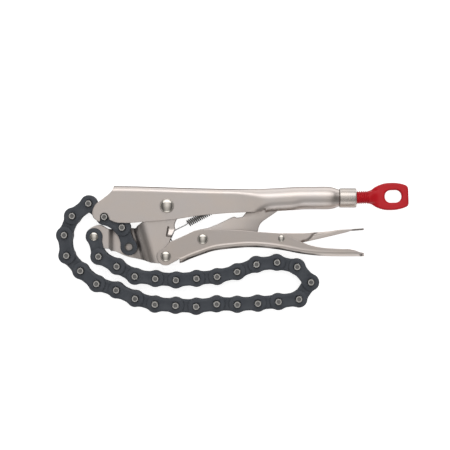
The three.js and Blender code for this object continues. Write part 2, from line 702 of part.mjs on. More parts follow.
/** One U-shaped ring of the lever's sheet, square to X, open towards the body. */
function leverRing(x, bottom, top) {
  const half = (inset) => {
    const radius = LEVER_BEND_RADIUS - inset;
    const centre = { y: bottom + LEVER_BEND_RADIUS, z: leverHalf - LEVER_BEND_RADIUS };
    const side = [[top, leverHalf - inset]];
    for (let i = 0; i <= BEND_STEPS; i += 1) {
      const angle = (Math.PI / 2) * (i / BEND_STEPS);
      side.push([centre.y - radius * Math.sin(angle), centre.z + radius * Math.cos(angle)]);
    }
    return [...side, ...side.map(([y, z]) => [y, -z]).reverse()];
  };
  const ring = [...half(0), ...half(LEVER_SHEET).reverse()];
  return ring.map(([y, z]) => new THREE.Vector3(x, y, z));
}

/** The lever: two walls round the jaw that become a channel under the hand. */
function lever() {
  const reach = {
    left: LEVER_NOSE_RADIUS, right: LEVER_REACH, up: LEVER_RISE, down: LEVER_DROP,
  };
  const ceiling = leverPivot.y + LEVER_RISE + OVERRUN;
  const rings = scaled(LEVER_BOTTOM_SHARES, leverPivot, reach)
    .map((point) => leverRing(point.x, point.y, ceiling));
  const floor = leverPivot.y - LEVER_DROP - OVERRUN;
  const cutter = [
    ...scaled(LEVER_TOP_SHARES, leverPivot, reach),
    new THREE.Vector2(leverPivot.x + LEVER_REACH + OVERRUN, leverPivot.y),
    new THREE.Vector2(leverPivot.x + LEVER_REACH + OVERRUN, floor),
    new THREE.Vector2(leverPivot.x, floor),
  ];
  const walls = [
    ...arc(leverPivot, LEVER_NOSE_RADIUS, 0.78 * Math.PI, 1.42 * Math.PI, END_STEPS),
    ...scaled(LEVER_WALL_SHARES, leverPivot, reach),
  ];
  const depth = leverHalf + OVERRUN;
  const channel = loft(rings, acrossX).intersect(plate(cutter, -depth, depth));
  const holes = [[leverPivot, LEVER_RIVET], [linkPivot, LINK_RIVET], [releasePivot, RELEASE_RIVET]];
  return holes.reduce(
    (solid, [centre, { shaft }]) => solid.subtract(
      bar(centre, shaft + PIN_CLEARANCE, -depth, depth, ROUND_SIDES)),
    join(platePair(walls, wallIn, leverHalf), channel),
  );
}

// Side outline of the toggle link beyond its boss, in shares of its reaches from that boss
const LINK_UPPER_SHARES = [
  [0.097, 0.292], [0.485, 0.614], [0.506, 0.576], [0.603, 0.595], [0.667, 0.727],
];
const LINK_LOWER_SHARES = [
  [1.141, 0.746], [0.967, 0.538], [0.882, 0.406], [0.849, 0.235], [0.823, 0.068],
];

/** The toggle link between the lever and the screw's end. */
function toggleLink() {
  const reach = {
    left: LINK_BOSS_RADIUS, right: LINK_LENGTH, up: LINK_RISE, down: LINK_BOSS_RADIUS,
  };
  const end = new THREE.Vector2(linkPivot.x + LINK_LENGTH, linkPivot.y + LINK_RISE);
  const outline = [
    ...arc(linkPivot, LINK_BOSS_RADIUS, -0.4 * Math.PI, -1.4 * Math.PI, 2 * END_STEPS),
    ...scaled(LINK_UPPER_SHARES, linkPivot, reach),
    ...arc(end, LINK_END_RADIUS, 0.8 * Math.PI, -0.09 * Math.PI, END_STEPS),
    ...scaled(LINK_LOWER_SHARES, linkPivot, reach),
  ].reverse();
  const half = LINK_THICKNESS / 2;
  return plate(outline, -half, half).subtract(
    bar(linkPivot, LINK_RIVET.shaft + PIN_CLEARANCE, -half - OVERRUN, half + OVERRUN, ROUND_SIDES));
}

// Side outline of the release lever's walls and the run of its thumb piece, in the same way
const RELEASE_WALL_SHARES = [
  [-1, 0.277], [-1, -0.308], [-0.479, -0.869], [0.106, -1.009], [0.261, -0.645],
  [0.347, -0.434], [0.604, 0.188], [0.604, 0.682], [0.502, 0.613], [0.347, 0.533],
  [0.037, 0.504], [-0.479, 0.474],
];
const RELEASE_TAIL_SHARES = [
  [0.27, -0.14], [0.33, 0.2], [0.399, 0.395], [0.5, 0.55], [0.604, 0.682], [0.691, 0.82],
  [0.863, 0.929], [1, 1],
];

/** The release lever: two small walls with a web at the nose and a flat thumb piece behind. */
function releaseLever() {
  const reach = {
    left: RELEASE_FRONT, right: RELEASE_REACH, up: RELEASE_RISE, down: RELEASE_DROP,
  };
  const inner = releaseHalf - RELEASE_SHEET;
  const walls = platePair(scaled(RELEASE_WALL_SHARES, releasePivot, reach), inner, releaseHalf);
  const top = scaled(RELEASE_TAIL_SHARES, releasePivot, reach);
  const under = top.map((point, i) => {
    const [before, after] = [top[Math.max(i - 1, 0)], top[Math.min(i + 1, top.length - 1)]];
    const run = after.clone().sub(before).normalize();
    return new THREE.Vector2(
      point.x + run.y * RELEASE_TAIL_THICKNESS, point.y - run.x * RELEASE_TAIL_THICKNESS);
  }).reverse();
  const tail = plate([...top, ...under].reverse(), -releaseHalf, releaseHalf);
  const noseLeft = releasePivot.x - RELEASE_FRONT;
  const nose = [
    new THREE.Vector2(noseLeft, releasePivot.y - 0.308 * RELEASE_DROP),
    new THREE.Vector2(noseLeft + RELEASE_SHEET, releasePivot.y - 0.45 * RELEASE_DROP),
    new THREE.Vector2(noseLeft + RELEASE_SHEET, releasePivot.y + 0.29 * RELEASE_RISE),
    new THREE.Vector2(noseLeft, releasePivot.y + 0.277 * RELEASE_RISE),
  ];
  const depth = releaseHalf + OVERRUN;
  return join(walls, tail, plate(nose, -inner - OVERRUN / 10, inner + OVERRUN / 10)).subtract(
    bar(releasePivot, RELEASE_RIVET.shaft + PIN_CLEARANCE, -depth, depth, ROUND_SIDES));
}

/** A rivet with a dome in front and a flat tail behind, over walls of the given half width. */
function rivet(centre, { shaft, dome, height }, outer, tailDepth) {
  const seat = outer + SEAT_GAP;
  const profile = [
    [0, -tailDepth], [dome - TAIL_BEVEL, -tailDepth], [dome, TAIL_BEVEL - tailDepth],
    [dome, -seat], [shaft, -seat], [shaft, seat], [dome, seat],
  ];
  for (let i = 1; i <= DOME_STEPS; i += 1) {
    const angle = (Math.PI / 2) * (i / DOME_STEPS);
    profile.push([dome * Math.cos(angle), seat + height * Math.sin(angle)]);
  }
  profile[profile.length - 1][0] = 0;
  const geometry = new THREE.LatheGeometry(
    profile.map(([radius, z]) => new THREE.Vector2(radius, z)), RIVET_SIDES);
  geometry.rotateX(Math.PI / 2);
  geometry.translate(centre.x, centre.y, 0);
  return solidOf(geometry);
}

/** The centre line of the spring's wire: near hook, coils and far hook. */
function springLine() {
  const radius = WIRE_DIAMETER / 2;
  const slitX = lugCentre.x - LUG_WIDTH;
  const behind = jawWallIn - radius - SIDE_CLEARANCE;
  const front = jawHalf + radius + SIDE_CLEARANCE;
  const near = (x, z) => new THREE.Vector3(x, lugCentre.y, z);
  const points = [
    near(slitX + 2 * WIRE_DIAMETER, behind), near(slitX + radius, behind),
    near(slitX, behind + radius), near(slitX, front - radius), near(slitX + radius, front),
    near(lugCentre.x + radius, front), near(lugCentre.x + 2 * WIRE_DIAMETER, front - radius),
  ];
  const coilRadius = COIL_DIAMETER / 2;
  const side = new THREE.Vector3(-springAxis.y, springAxis.x, 0);
  const up = new THREE.Vector3(0, 0, 1);
  for (let i = 0; i <= COIL_TURNS * COIL_STEPS; i += 1) {
    const angle = (2 * Math.PI * i) / COIL_STEPS;
    points.push(coilStart.clone()
      .addScaledVector(springAxis, (COIL_PITCH * i) / COIL_STEPS)
      .addScaledVector(up, coilRadius * Math.cos(angle))
      .addScaledVector(side, coilRadius * Math.sin(angle)));
  }
  for (let i = 0; i <= 2 * END_STEPS; i += 1) {
    const angle = -Math.PI / 2 + (4 * Math.PI * i) / (3 * 2 * END_STEPS);
    points.push(anchorPlace.clone()
      .addScaledVector(springAxis, HOOK_RADIUS * Math.cos(angle))
      .addScaledVector(side, HOOK_RADIUS * Math.sin(angle)));
  }
  return points;
}

/** The least gap between two stretches of the wire that aren't neighbours. */
function leastGap(points) {
  const run = [0];
  for (let i = 1; i < points.length; i += 1) {
    run.push(run[i - 1] + points[i].distanceTo(points[i - 1]));
  }
  let least = Infinity;
  for (let i = 0; i < points.length; i += 1) {
    for (let j = i + 1; j < points.length; j += 1) {
      if (run[j] - run[i] > COIL_DIAMETER) {
        least = Math.min(least, points[i].distanceTo(points[j]) - WIRE_DIAMETER);
      }
    }
  }
  return least;
}

const group = new THREE.Group();
group.name = 'chain_clamp';

/** Adds one named piece to the group. */
function addPiece(name, solid, material) {
  const mesh = new THREE.Mesh(geometryOf(solid), material);
  mesh.name = name;
  group.add(mesh);
}

addPiece('upper_body', upperBody(), NICKEL);
addPiece('ferrule', ferrule(), BRIGHT);
addPiece('adjusting_screw', adjustingScrew(), RED_PAINT);
addPiece('screw_tip', screwTip(), CHAIN_STEEL);
addPiece('lower_jaw', lowerJaw(), NICKEL);
addPiece('lever', lever(), NICKEL);
addPiece('toggle_link', toggleLink(), NICKEL);
addPiece('release_lever', releaseLever(), NICKEL);
addPiece('jaw_rivet', rivet(jawPivot, JAW_RIVET, bodyHalf, restDepth), BRIGHT);
addPiece('lever_rivet', rivet(leverPivot, LEVER_RIVET, leverHalf, restDepth), BRIGHT);
addPiece('link_rivet', rivet(linkPivot, LINK_RIVET, leverHalf, restDepth), BRIGHT);
addPiece('release_rivet', rivet(releasePivot, RELEASE_RIVET, leverHalf, restDepth), BRIGHT);
const chainTail = innerPlateOut + SEAT_GAP + CHAIN_RIVET_HEAD_HEIGHT;
addPiece('chain_rivet', rivet(chainRivet, {
  shaft: pinRadius, dome: CHAIN_RIVET_HEAD_RADIUS, height: CHAIN_RIVET_HEAD_HEIGHT,
}, innerPlateOut, chainTail), BRIGHT);

const outer = outerLink();
const inner = { both: innerLink([0, 1]), first: innerLink([1]), last: innerLink([0]) };
for (let i = 1; i <= LINK_COUNT; i += 1) {
  let solid = outer;
  if (i % 2 === 1) solid = inner.both;
  if (i === 1) solid = inner.first;
  if (i === LINK_COUNT) solid = inner.last;
  const placed = solid.rotate([0, 0, LINK_HEADINGS[i - 1]]).translate([pins[i - 1].x, pins[i - 1].y, 0]);
  addPiece(`chain_link_${String(i).padStart(2, '0')}`, placed, CHAIN_STEEL);
}

const springPoints = springLine();
addPiece('spring', wire(springPoints, WIRE_DIAMETER / 2, WIRE_SIDES), SPRING_STEEL);
console.log(`spring: least gap to itself ${leastGap(springPoints).toFixed(3)} mm`);

// Move everything so that the origin is the centre of the footprint
const box = new THREE.Box3().setFromObject(group);
const shift = new THREE.Vector3(
  -(box.min.x + box.max.x) / 2, -(box.min.y + box.max.y) / 2, -box.min.z);
for (const mesh of group.children) mesh.geometry.translate(shift.x, shift.y, shift.z);
console.log(`jaw pivot at ${shift.toArray().map((value) => value.toFixed(4)).join(', ')} mm`);

export default group;
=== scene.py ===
"""A locking chain clamp on a pale studio floor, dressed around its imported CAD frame.

Sizes are in millimetres in the tool's own plan: the jaw rivet is the origin, +X runs along the handles,
+Y from the chain's loop towards the upper handle and +Z out of the side that faces the camera.
Plan.matrix() takes a mesh from there to the row frame, in metres.
"""

from __future__ import annotations

import logging
import math
from abc import ABC, abstractmethod
from collections.abc import Callable, Sequence
from dataclasses import dataclass
from enum import Enum
from functools import cache, partial

import bmesh
import bpy
from mathutils import Matrix, Vector, geometry

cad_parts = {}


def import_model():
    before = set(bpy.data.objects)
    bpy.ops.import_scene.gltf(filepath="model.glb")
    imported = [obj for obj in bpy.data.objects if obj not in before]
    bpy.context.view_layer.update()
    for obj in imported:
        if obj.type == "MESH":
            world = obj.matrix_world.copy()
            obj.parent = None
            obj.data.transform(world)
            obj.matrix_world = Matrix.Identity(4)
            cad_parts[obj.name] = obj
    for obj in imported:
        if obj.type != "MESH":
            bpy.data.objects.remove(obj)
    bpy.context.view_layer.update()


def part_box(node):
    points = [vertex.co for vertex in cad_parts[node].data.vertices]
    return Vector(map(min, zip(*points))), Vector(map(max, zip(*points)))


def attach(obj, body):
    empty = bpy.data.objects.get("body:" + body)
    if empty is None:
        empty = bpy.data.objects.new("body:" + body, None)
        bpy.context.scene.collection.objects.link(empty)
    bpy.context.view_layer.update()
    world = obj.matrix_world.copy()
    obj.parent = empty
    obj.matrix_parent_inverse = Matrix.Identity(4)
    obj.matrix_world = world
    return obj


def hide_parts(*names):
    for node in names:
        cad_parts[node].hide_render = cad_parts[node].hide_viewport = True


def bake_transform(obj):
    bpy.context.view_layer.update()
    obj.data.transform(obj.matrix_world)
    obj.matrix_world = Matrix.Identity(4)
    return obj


log = logging.getLogger("chain_clamp")

Pair = tuple[float, float]
Colour = tuple[float, float, float]
Former = Callable[[Vector], Vector]

MM = 0.001


class Body(Enum):
    """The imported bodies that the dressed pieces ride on."""

    FRAME = "frame"
    JAW = "jaw"
    LEVER = "lever"
    TOGGLE = "toggle"
    RELEASE = "release_lever"
    TIP = "tip"
    SCREW = "screw"


class Slot(Enum):
    """The record's material slots."""

    NICKEL = "nickel"
    BRIGHT = "bright"
    CHAIN_STEEL = "chain_steel"
    SPRING_STEEL = "spring_steel"
    RED_PAINT = "red_paint"


# Plan and shared sizes


@dataclass
class Plan:
    """The tool's plan: pivots, depths and the way into the row frame.

    Args:
        origin: The jaw rivet's axis at the tool's middle plane, in metres in the row frame.
    """

    origin: Vector
    lever_pivot: Pair = (-0.9, -38.8)
    link_pivot: Pair = (27.5, -25.5)
    release_pivot: Pair = (87.9, -25.0)
    chain_rivet: Pair = (-56.3, -23.6)
    body_half: float = 9.9
    lever_half: float = 9.8
    jaw_half: float = 7.3
    rest_depth: float = 11.2

    @classmethod
    def from_frame(cls) -> Plan:
        """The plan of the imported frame, found from the jaw rivet and a chain link.

        Returns:
            The plan, with its origin in the row frame.
        """
        low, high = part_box("jaw_rivet")
        link_low, link_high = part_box("chain_link_01")
        middle = (low + high) / 2
        return cls(origin=Vector((middle.x, middle.y, (link_low.z + link_high.z) / 2)))

    def matrix(self) -> Matrix:
        """Plan millimetres to row-frame metres."""
        return Matrix.Translation(self.origin) @ Matrix.Scale(MM, 4)

    def point(self, x: float, y: float, z: float = 0.0) -> Vector:
        """A plan point in the row frame."""
        return self.matrix() @ Vector((x, y, z))


# Outlines and curves


def unit(value: float) -> float:
    """A value held between 0 and 1."""
    return min(1.0, max(0.0, value))


def eased(value: float) -> float:
    """A value held between 0 and 1 that leaves and arrives softly."""
    share = unit(value)
    return share * share * (3 - 2 * share)


def hump(value: float) -> float:
    """1 at zero, falling softly to 0 at one and beyond."""
    return 0.5 + 0.5 * math.cos(math.pi * min(1.0, value))


def shares(
    rows: Sequence[Pair], pivot: Pair, left: float, right: float, up: float, down: float
) -> list[Pair]:
    """Outline points from shares of the reaches of a piece.

    Args:
        rows: Shares, negative to the left and below.
        pivot: The point that the shares count from.
        left, right, up, down: The reaches in millimetres.

    Returns:
        Points in the plan.
    """
    return [
        (pivot[0] + x * (left if x < 0 else right), pivot[1] + y * (down if y < 0 else up))
        for x, y in rows
    ]


def arc(centre: Pair, radius: float, start: float, end: float, steps: int) -> list[Pair]:
    """Points of an arc, in degrees, both ends included.

    Args:
        centre: The arc's centre.
        radius: Its radius.
        start, end: Its angles in degrees.
        steps: How many chords it has.

    Returns:
        steps + 1 points.
    """
    angles = (math.radians(start + (end - start) * i / steps) for i in range(steps + 1))
    return [(centre[0] + radius * math.cos(a), centre[1] + radius * math.sin(a)) for a in angles]


def ring(centre: Pair, radius: float, steps: int) -> list[Pair]:
    """The corners of a whole circle."""
    return arc(centre, radius, 0, 360, steps)[:-1]


def mirrored(points: Sequence[Pair], axis: float = 0.0) -> list[Pair]:
    """Points mirrored in a line along X, in reverse order."""
    return [(x, 2 * axis - y) for x, y in reversed(points)]


def curve_through(points: Sequence[Pair], per_span: int = 5) -> list[Pair]:
    """A smooth open curve through points, centripetal so that it makes no loops.

    Args:
        points: Points in order.
        per_span: Chords between two of them.

    Returns:
        The denser row of points, ends included.
    """
    rows = [Vector(p) for p in points]
    rows = [2 * rows[0] - rows[1], *rows, 2 * rows[-1] - rows[-2]]
    out: list[Pair] = []
    for p0, p1, p2, p3 in zip(rows, rows[1:], rows[2:], rows[3:]):
        t1 = max((p1 - p0).length, 1e-6) ** 0.5
        t2 = t1 + max((p2 - p1).length, 1e-6) ** 0.5
        t3 = t2 + max((p3 - p2).length, 1e-6) ** 0.5
        for i in range(per_span):
            t = t1 + (t2 - t1) * i / per_span
            a1 = p0 * ((t1 - t) / t1) + p1 * (t / t1)
            a2 = p1 * ((t2 - t) / (t2 - t1)) + p2 * ((t - t1) / (t2 - t1))
            a3 = p2 * ((t3 - t) / (t3 - t2)) + p3 * ((t - t2) / (t3 - t2))
            b1 = a1 * ((t2 - t) / t2) + a2 * (t / t2)
            b2 = a2 * ((t3 - t) / (t3 - t1)) + a3 * ((t - t1) / (t3 - t1))
            point = b1 * ((t2 - t) / (t2 - t1)) + b2 * ((t - t1) / (t2 - t1))
            out.append((point.x, point.y))
    out.append(tuple(points[-1]))
    return out


@dataclass
class Law:
    """A value that changes smoothly with place, given at a few places.

    Args:
        rows: (place, value) rows in order of place.
    """

    rows: Sequence[Pair]

    def __call__(self, place: float) -> float:
        """The value at a place: flat beyond the ends, a monotone cubic between rows."""
        rows = self.rows
        if place <= rows[0][0]:
            return rows[0][1]
        if place >= rows[-1][0]:
            return rows[-1][1]
        k = max(i for i in range(len(rows) - 1) if rows[i][0] <= place)
        (x0, y0), (x1, y1) = rows[k], rows[k + 1]
        step = x1 - x0
        m0, m1 = self._slope(k), self._slope(k + 1)
        t = (place - x0) / step
        return (
            y0 * (1 + 2 * t) * (1 - t) ** 2 + m0 * step * t * (1 - t) ** 2
            + y1 * t * t * (3 - 2 * t) + m1 * step * t * t * (t - 1)
        )

    def _slope(self, k: int) -> float:
        """The slope at row k, zero where the value turns."""
        rows = self.rows
        if k in (0, len(rows) - 1):
            return 0.0
        before = (rows[k][1] - rows[k - 1][1]) / (rows[k][0] - rows[k - 1][0])
        after = (rows[k + 1][1] - rows[k][1]) / (rows[k + 1][0] - rows[k][0])
        if before * after <= 0:
            return 0.0
        return 2 * before * after / (before + after)


def resampled(points: Sequence[Pair], step: float) -> list[Pair]:
    """The same closed outline with no side longer than step, corners kept.

    Args:
        points: A closed outline.
        step: The longest side allowed.

    Returns:
        The denser outline.
    """
    out: list[Pair] = []
    for (x0, y0), (x1, y1) in zip(points, [*points[1:], points[0]]):
        count = max(1, math.ceil(math.hypot(x1 - x0, y1 - y0) / step))
        out += [(x0 + (x1 - x0) * i / count, y0 + (y1 - y0) * i / count) for i in range(count)]
    return out


def signed_area(points: Sequence[Pair]) -> float:
    """The area of a closed outline, positive when it runs anticlockwise."""
    return sum(x0 * y1 - x1 * y0 for (x0, y0), (x1, y1) in zip(points, [*points[1:], points[0]])) / 2


def turned(points: Sequence[Pair], way: int) -> list[Pair]:
    """A closed outline that runs anticlockwise for a way of 1 and clockwise for -1."""
    return list(points) if signed_area(points) * way >= 0 else list(reversed(points))


def inset(points: Sequence[Pair], distance: float) -> list[Pair]:
    """An outline moved to its left side by a distance, with mitred corners.

    Args:
        points: A closed outline.
        distance: How far it moves.

    Returns:
        As many points as before.
    """
    out: list[Pair] = []
    count = len(points)
    for i, here in enumerate(points):
        before, after = Vector(points[i - 1]), Vector(points[(i + 1) % count])
        u = (Vector(here) - before).normalized()
        v = (after - Vector(here)).normalized()
        n = Vector((-u.y, u.x)) + Vector((-v.y, v.x))
        if n.length < 0.2:
            n = Vector((-u.y, u.x))
        n.normalize()
        cosine = max(0.45, n.dot(Vector((-u.y, u.x))))
        out.append((here[0] + n.x * distance / cosine, here[1] + n.y * distance / cosine))
    return out


# Meshes


@dataclass
class Blank:
    """A sheet cut from plate, with rounded edges, ready to be formed.

    Args:
        outline: Its closed outline.
        low, high: The depths of its two faces.
        holes: Closed outlines that are cut through it.
        edge: The radius of its edges.
        steps: Chords in that radius.
    """

    outline: Sequence[Pair]
    low: float
    high: float
    holes: Sequence[Sequence[Pair]] = ()
    edge: float = 0.3
    steps: int = 3

    def cut(self) -> bmesh.types.BMesh:
        """The flat sheet.

        Returns:
            A closed mesh.
        """
        loops = [turned(self.outline, 1), *(turned(hole, -1) for hole in self.holes)]
        quarter = [math.pi / 2 * i / self.steps for i in range(self.steps + 1)]
        bends = [(self.edge * (1 - math.sin(a)), self.edge * (1 - math.cos(a))) for a in quarter]
        levels = [(near, self.high - far) for near, far in bends]
        levels += [(far, self.low + near) for near, far in bends]
        bm = bmesh.new()
        rings: list[list[list[bmesh.types.BMVert]]] = []
        for distance, depth in levels:
            moved_in = [inset(loop, distance) for loop in loops]
            rings.append([[bm.verts.new((x, y, depth)) for x, y in loop] for loop in moved_in])
        for above, below in zip(rings, rings[1:]):
            for top, bottom in zip(above, below):
                for i, vert in enumerate(top):
                    j = (i + 1) % len(top)
                    bm.faces.new((vert, bottom[i], bottom[j], top[j]))
        for face_loops, underside in ((rings[0], False), (rings[-1], True)):
            flat = [vert for loop in face_loops for vert in loop]
            places = [[vert.co for vert in loop] for loop in face_loops]
            for triangle in geometry.tessellate_polygon(places):
                corners = [flat[i] for i in triangle]
                if (corners[1].co - corners[0].co).cross(corners[2].co - corners[0].co).z < 0:
                    corners.reverse()
                if underside:
                    corners.reverse()
                if len(set(corners)) == 3:
                    bm.faces.new(corners)
        return bm

    def formed(self, former: Former, x_step: float = 0.0, y_step: float = 0.0) -> bmesh.types.BMesh:
        """The sheet sliced finely and pressed into shape.

        Args:
            former: Where each point of the flat sheet goes.
            x_step, y_step: Spacing of the slices, or zero for none that way.

        Returns:
            A closed mesh.
        """
        bm = self.cut()
        slice_mesh(bm, 0, x_step)
        slice_mesh(bm, 1, y_step)
        for vert in bm.verts:
            vert.co = former(vert.co.copy())
        return bm


def slice_mesh(bm: bmesh.types.BMesh, axis: int, step: float) -> None:
    """Cuts a mesh across an axis at even steps, so that it can bend.

    Args:
        bm: The mesh.
        axis: 0 for X, 1 for Y.
        step: The spacing, or zero for no cuts.
    """
    if step <= 0:
        return
    values = [vert.co[axis] for vert in bm.verts]
    low, high = min(values), max(values)
    normal = Vector((1, 0, 0)) if axis == 0 else Vector((0, 1, 0))
    count = int((high - low) / step)
    for i in range(1, count + 1):
        place = normal * (low + (high - low) * i / (count + 1))
        geom = [*bm.verts, *bm.edges, *bm.faces]
        bmesh.ops.bisect_plane(bm, geom=geom, dist=1e-5, plane_co=place, plane_no=normal)


def revolve(profile: Sequence[Pair], sides: int) -> bmesh.types.BMesh:
    """A solid of revolution about Z.

    Args:
        profile: (radius, height) rows from one pole to the other, or a closed ring when no
            radius is zero.
        sides: How many sides it has.

    Returns:
        A closed mesh.
    """
    bm = bmesh.new()
    rings: list[list[bmesh.types.BMVert]] = []
    for radius, height in profile:
        if radius < 1e-6:
            rings.append([bm.verts.new((0, 0, height))])
        else:
            circle = ring((0, 0), radius, sides)
            rings.append([bm.verts.new((x, y, height)) for x, y in circle])
    closed = len(rings[0]) > 1
    pairs = list(zip(rings, rings[1:])) + ([(rings[-1], rings[0])] if closed else [])
    for lower, upper in pairs:
        for i in range(sides):
            j = (i + 1) % sides
            corners = ((lower, i), (lower, j), (upper, j), (upper, i))
            unique = list(dict.fromkeys(verts[k % len(verts)] for verts, k in corners))
            if len(unique) > 2:
                bm.faces.new(unique)
    bmesh.ops.recalc_face_normals(bm, faces=bm.faces)
    return bm


def rounded(corners: Sequence[tuple[float, float, float]], steps: int = 4) -> list[Pair]:
    """A profile whose corners are rounded.

    Args:
        corners: (x, y, radius) rows. The first and last are ends.
        steps: Chords in each corner.

    Returns:
        Points of the profile.
    """
    out: list[Pair] = [corners[0][:2]]
    for (x0, y0, _), (x1, y1, radius), (x2, y2, _) in zip(corners, corners[1:], corners[2:]):
        here = Vector((x1, y1))
        u = (Vector((x0, y0)) - here).normalized()
        v = (Vector((x2, y2)) - here).normalized()
        start, end = here + u * radius, here + v * radius
        if radius <= 0:
            out.append((x1, y1))
            continue
        for i in range(steps + 1):
            t = i / steps
            point = start * (1 - t) ** 2 + here * 2 * t * (1 - t) + end * t * t
            out.append((point.x, point.y))
    out.append(corners[-1][:2])
    return out


def mesh_data(name: str, bm: bmesh.types.BMesh) -> bpy.types.Mesh:
    """The mesh data of a mesh under construction, which is freed."""
    data = bpy.data.meshes.new(name)
    bm.to_mesh(data)
    bm.free()
    return data


def stood(name: str, data: bpy.types.ID) -> bpy.types.Object:
    """A new object in the scene that shows some data."""
    obj = bpy.data.objects.new(name, data)
    bpy.context.scene.collection.objects.link(obj)
    return obj


def joined(*meshes: bmesh.types.BMesh) -> bmesh.types.BMesh:
    """Several meshes in one.

    Args:
        meshes: The meshes, which are freed.

    Returns:
        The mesh that holds them all.
    """
    whole = bmesh.new()
    for part in meshes:
        data = mesh_data("part", part)
        whole.from_mesh(data)
        bpy.data.meshes.remove(data)
    return whole


def moved(bm: bmesh.types.BMesh, *steps: Matrix) -> bmesh.types.BMesh:
    """The same mesh after transforms, the first one first."""
    for step in steps:
        bm.transform(step)
    return bm


# Node trees


class Graph:
    """A node tree under construction."""

    def __init__(self, tree: bpy.types.NodeTree) -> None:
        """Takes over an empty tree."""
        self.tree = tree

    @classmethod
    def shading(cls, owner: bpy.types.Material | bpy.types.World) -> Graph:
        """The emptied tree of a material or of a world."""
        owner.use_nodes = True
        owner.node_tree.nodes.clear()
        return cls(owner.node_tree)

    def feed(self, socket: bpy.types.NodeSocket, value: object) -> None:
        """Links an input where the value is a socket, and sets it where not."""
        if isinstance(value, bpy.types.NodeSocket):
            self.tree.links.new(value, socket)
        else:
            socket.default_value = value

    def node(self, kind: str, *inputs: object, **values: object) -> bpy.types.Node:
        """Adds a node.

        Args:
            kind: The node's type.
            inputs: Sockets or values of its first inputs, in order.
            values: Its properties, or sockets and values of its inputs, with _ for a space.

        Returns:
            The node.
        """
        made = self.tree.nodes.new(kind)
        for key, value in values.items():
            if key[0].isupper():
                self.feed(made.inputs[key.replace("_", " ")], value)
            else:
                setattr(made, key, value)
        for socket, value in zip(made.inputs, inputs):
            self.feed(socket, value)
        return made

    def out(self, kind: str, *inputs: object, **values: object) -> bpy.types.NodeSocket:
        """Adds a node as node() does, for its first output."""
        return self.node(kind, *inputs, **values).outputs[0]

    def maths(self, operation: str, *values: object) -> bpy.types.NodeSocket:
        """The result of an operation on sockets and numbers."""
        return self.out("ShaderNodeMath", *values, operation=operation)

    def vector(self, x: object = 0.0, y: object = 0.0, z: object = 0.0) -> bpy.types.NodeSocket:
        """A vector of three sockets or numbers."""
        return self.out("ShaderNodeCombineXYZ", x, y, z)

    def ramp(self, factor: bpy.types.NodeSocket, rows: Sequence[Pair]) -> bpy.types.NodeSocket:
        """Grey levels along a factor.

        Args:
            factor: The factor, from 0 to 1.
            rows: (place, grey) rows from 0 to 1.

        Returns:
            The grey level.
        """
        made = self.node("ShaderNodeValToRGB", factor)
        stops = made.color_ramp.elements
        for place, grey in rows[1:-1]:
            stops.new(place).color = (grey, grey, grey, 1)
        for stop, (place, grey) in ((stops[0], rows[0]), (stops[-1], rows[-1])):
            stop.position, stop.color = place, (grey, grey, grey, 1)
        return made.outputs["Color"]


# Finishes


@dataclass(frozen=True)
class Finish:
    """A node-based finish of one material of the tool.

    Args:
        name: The material's name.
        colour: Its main colour.
        tint: The colour that it drifts to in patches.
        metallic: 1 for bare or plated metal.
        roughness: The range of its roughness, smoothest first.
        grain: Size of the fine bump's grains, in millimetres.
        bump: Height of the fine bump, in millimetres.
        patch: Size of the patches, in millimetres.
        lines: Stretch of the grain across X, for a brushed finish.
        rim: The grey of the metal's reflection where it turns away from the eye: painted shade, near black,
            that darkens the rims.
        ior: How strongly a coating mirrors.
    """

    name: str
    colour: Colour
    tint: Colour
    metallic: float
    roughness: Pair
    grain: float = 0.25
    bump: float = 0.01
    patch: float = 14.0
    lines: float = 1.0
    rim: float = 0.02
    ior: float = 1.45

    @cache
    def material(self) -> bpy.types.Material:
        """The finish as a material, made at its first use.

        Returns:
            The material.
        """
        material = bpy.data.materials.new(self.name)
        graph = Graph.shading(material)
        shader = graph.node("ShaderNodeBsdfPrincipled", Metallic=self.metallic, IOR=self.ior)
        # Painted shade: a near-black edge tint darkens the metal's reflection at its grazing rims.
        if self.metallic > 0.9:
            tint = (self.rim, self.rim * 0.9, self.rim * 0.8, 1)
            shader.inputs["Specular Tint"].default_value = tint
        place = graph.node("ShaderNodeTexCoord").outputs["Object"]
        brushed = graph.node("ShaderNodeMapping", Vector=place, Scale=(1.0, self.lines, self.lines))
        patches = self.cloud(graph, place, self.patch, 4.0)
        fine = self.cloud(graph, brushed.outputs["Vector"], self.grain, 2.0)
        blend = graph.node(
            "ShaderNodeMix", data_type="RGBA", A=(*self.colour, 1), B=(*self.tint, 1),
            Factor=self.spread(graph, patches, 0.0, 1.0),
        )
        bump = graph.node("ShaderNodeBump", Strength=1.0, Distance=self.bump * MM, Height=fine)
        graph.feed(shader.inputs["Base Color"], blend.outputs["Result"])
        graph.feed(shader.inputs["Roughness"], self.spread(graph, fine, *self.roughness))
        graph.feed(shader.inputs["Normal"], bump.outputs["Normal"])
        graph.node("ShaderNodeOutputMaterial", Surface=shader.outputs["BSDF"])
        return material

    @staticmethod
    def cloud(
        graph: Graph, place: bpy.types.NodeSocket, size: float, detail: float
    ) -> bpy.types.NodeSocket:
        """Soft noise on the object's own place.

        Args:
            graph: The tree.
            place: The coordinates.
            size: The noise's size in millimetres.
            detail: How many finer layers it has.

        Returns:
            The noise, near 0.5.
        """
        noise = graph.node(
            "ShaderNodeTexNoise", Vector=place, Scale=1.0 / (size * MM), Detail=detail, Roughness=0.55
        )
        return noise.outputs["Fac"]

    @staticmethod
    def spread(
        graph: Graph, source: bpy.types.NodeSocket, low: float, high: float
    ) -> bpy.types.NodeSocket:
        """The middle of a noise's range, spread from low to high."""
        limits = {"From_Min": 0.3, "From_Max": 0.7, "To_Min": low, "To_Max": high}
        return graph.node("ShaderNodeMapRange", Value=source, **limits).outputs["Result"]


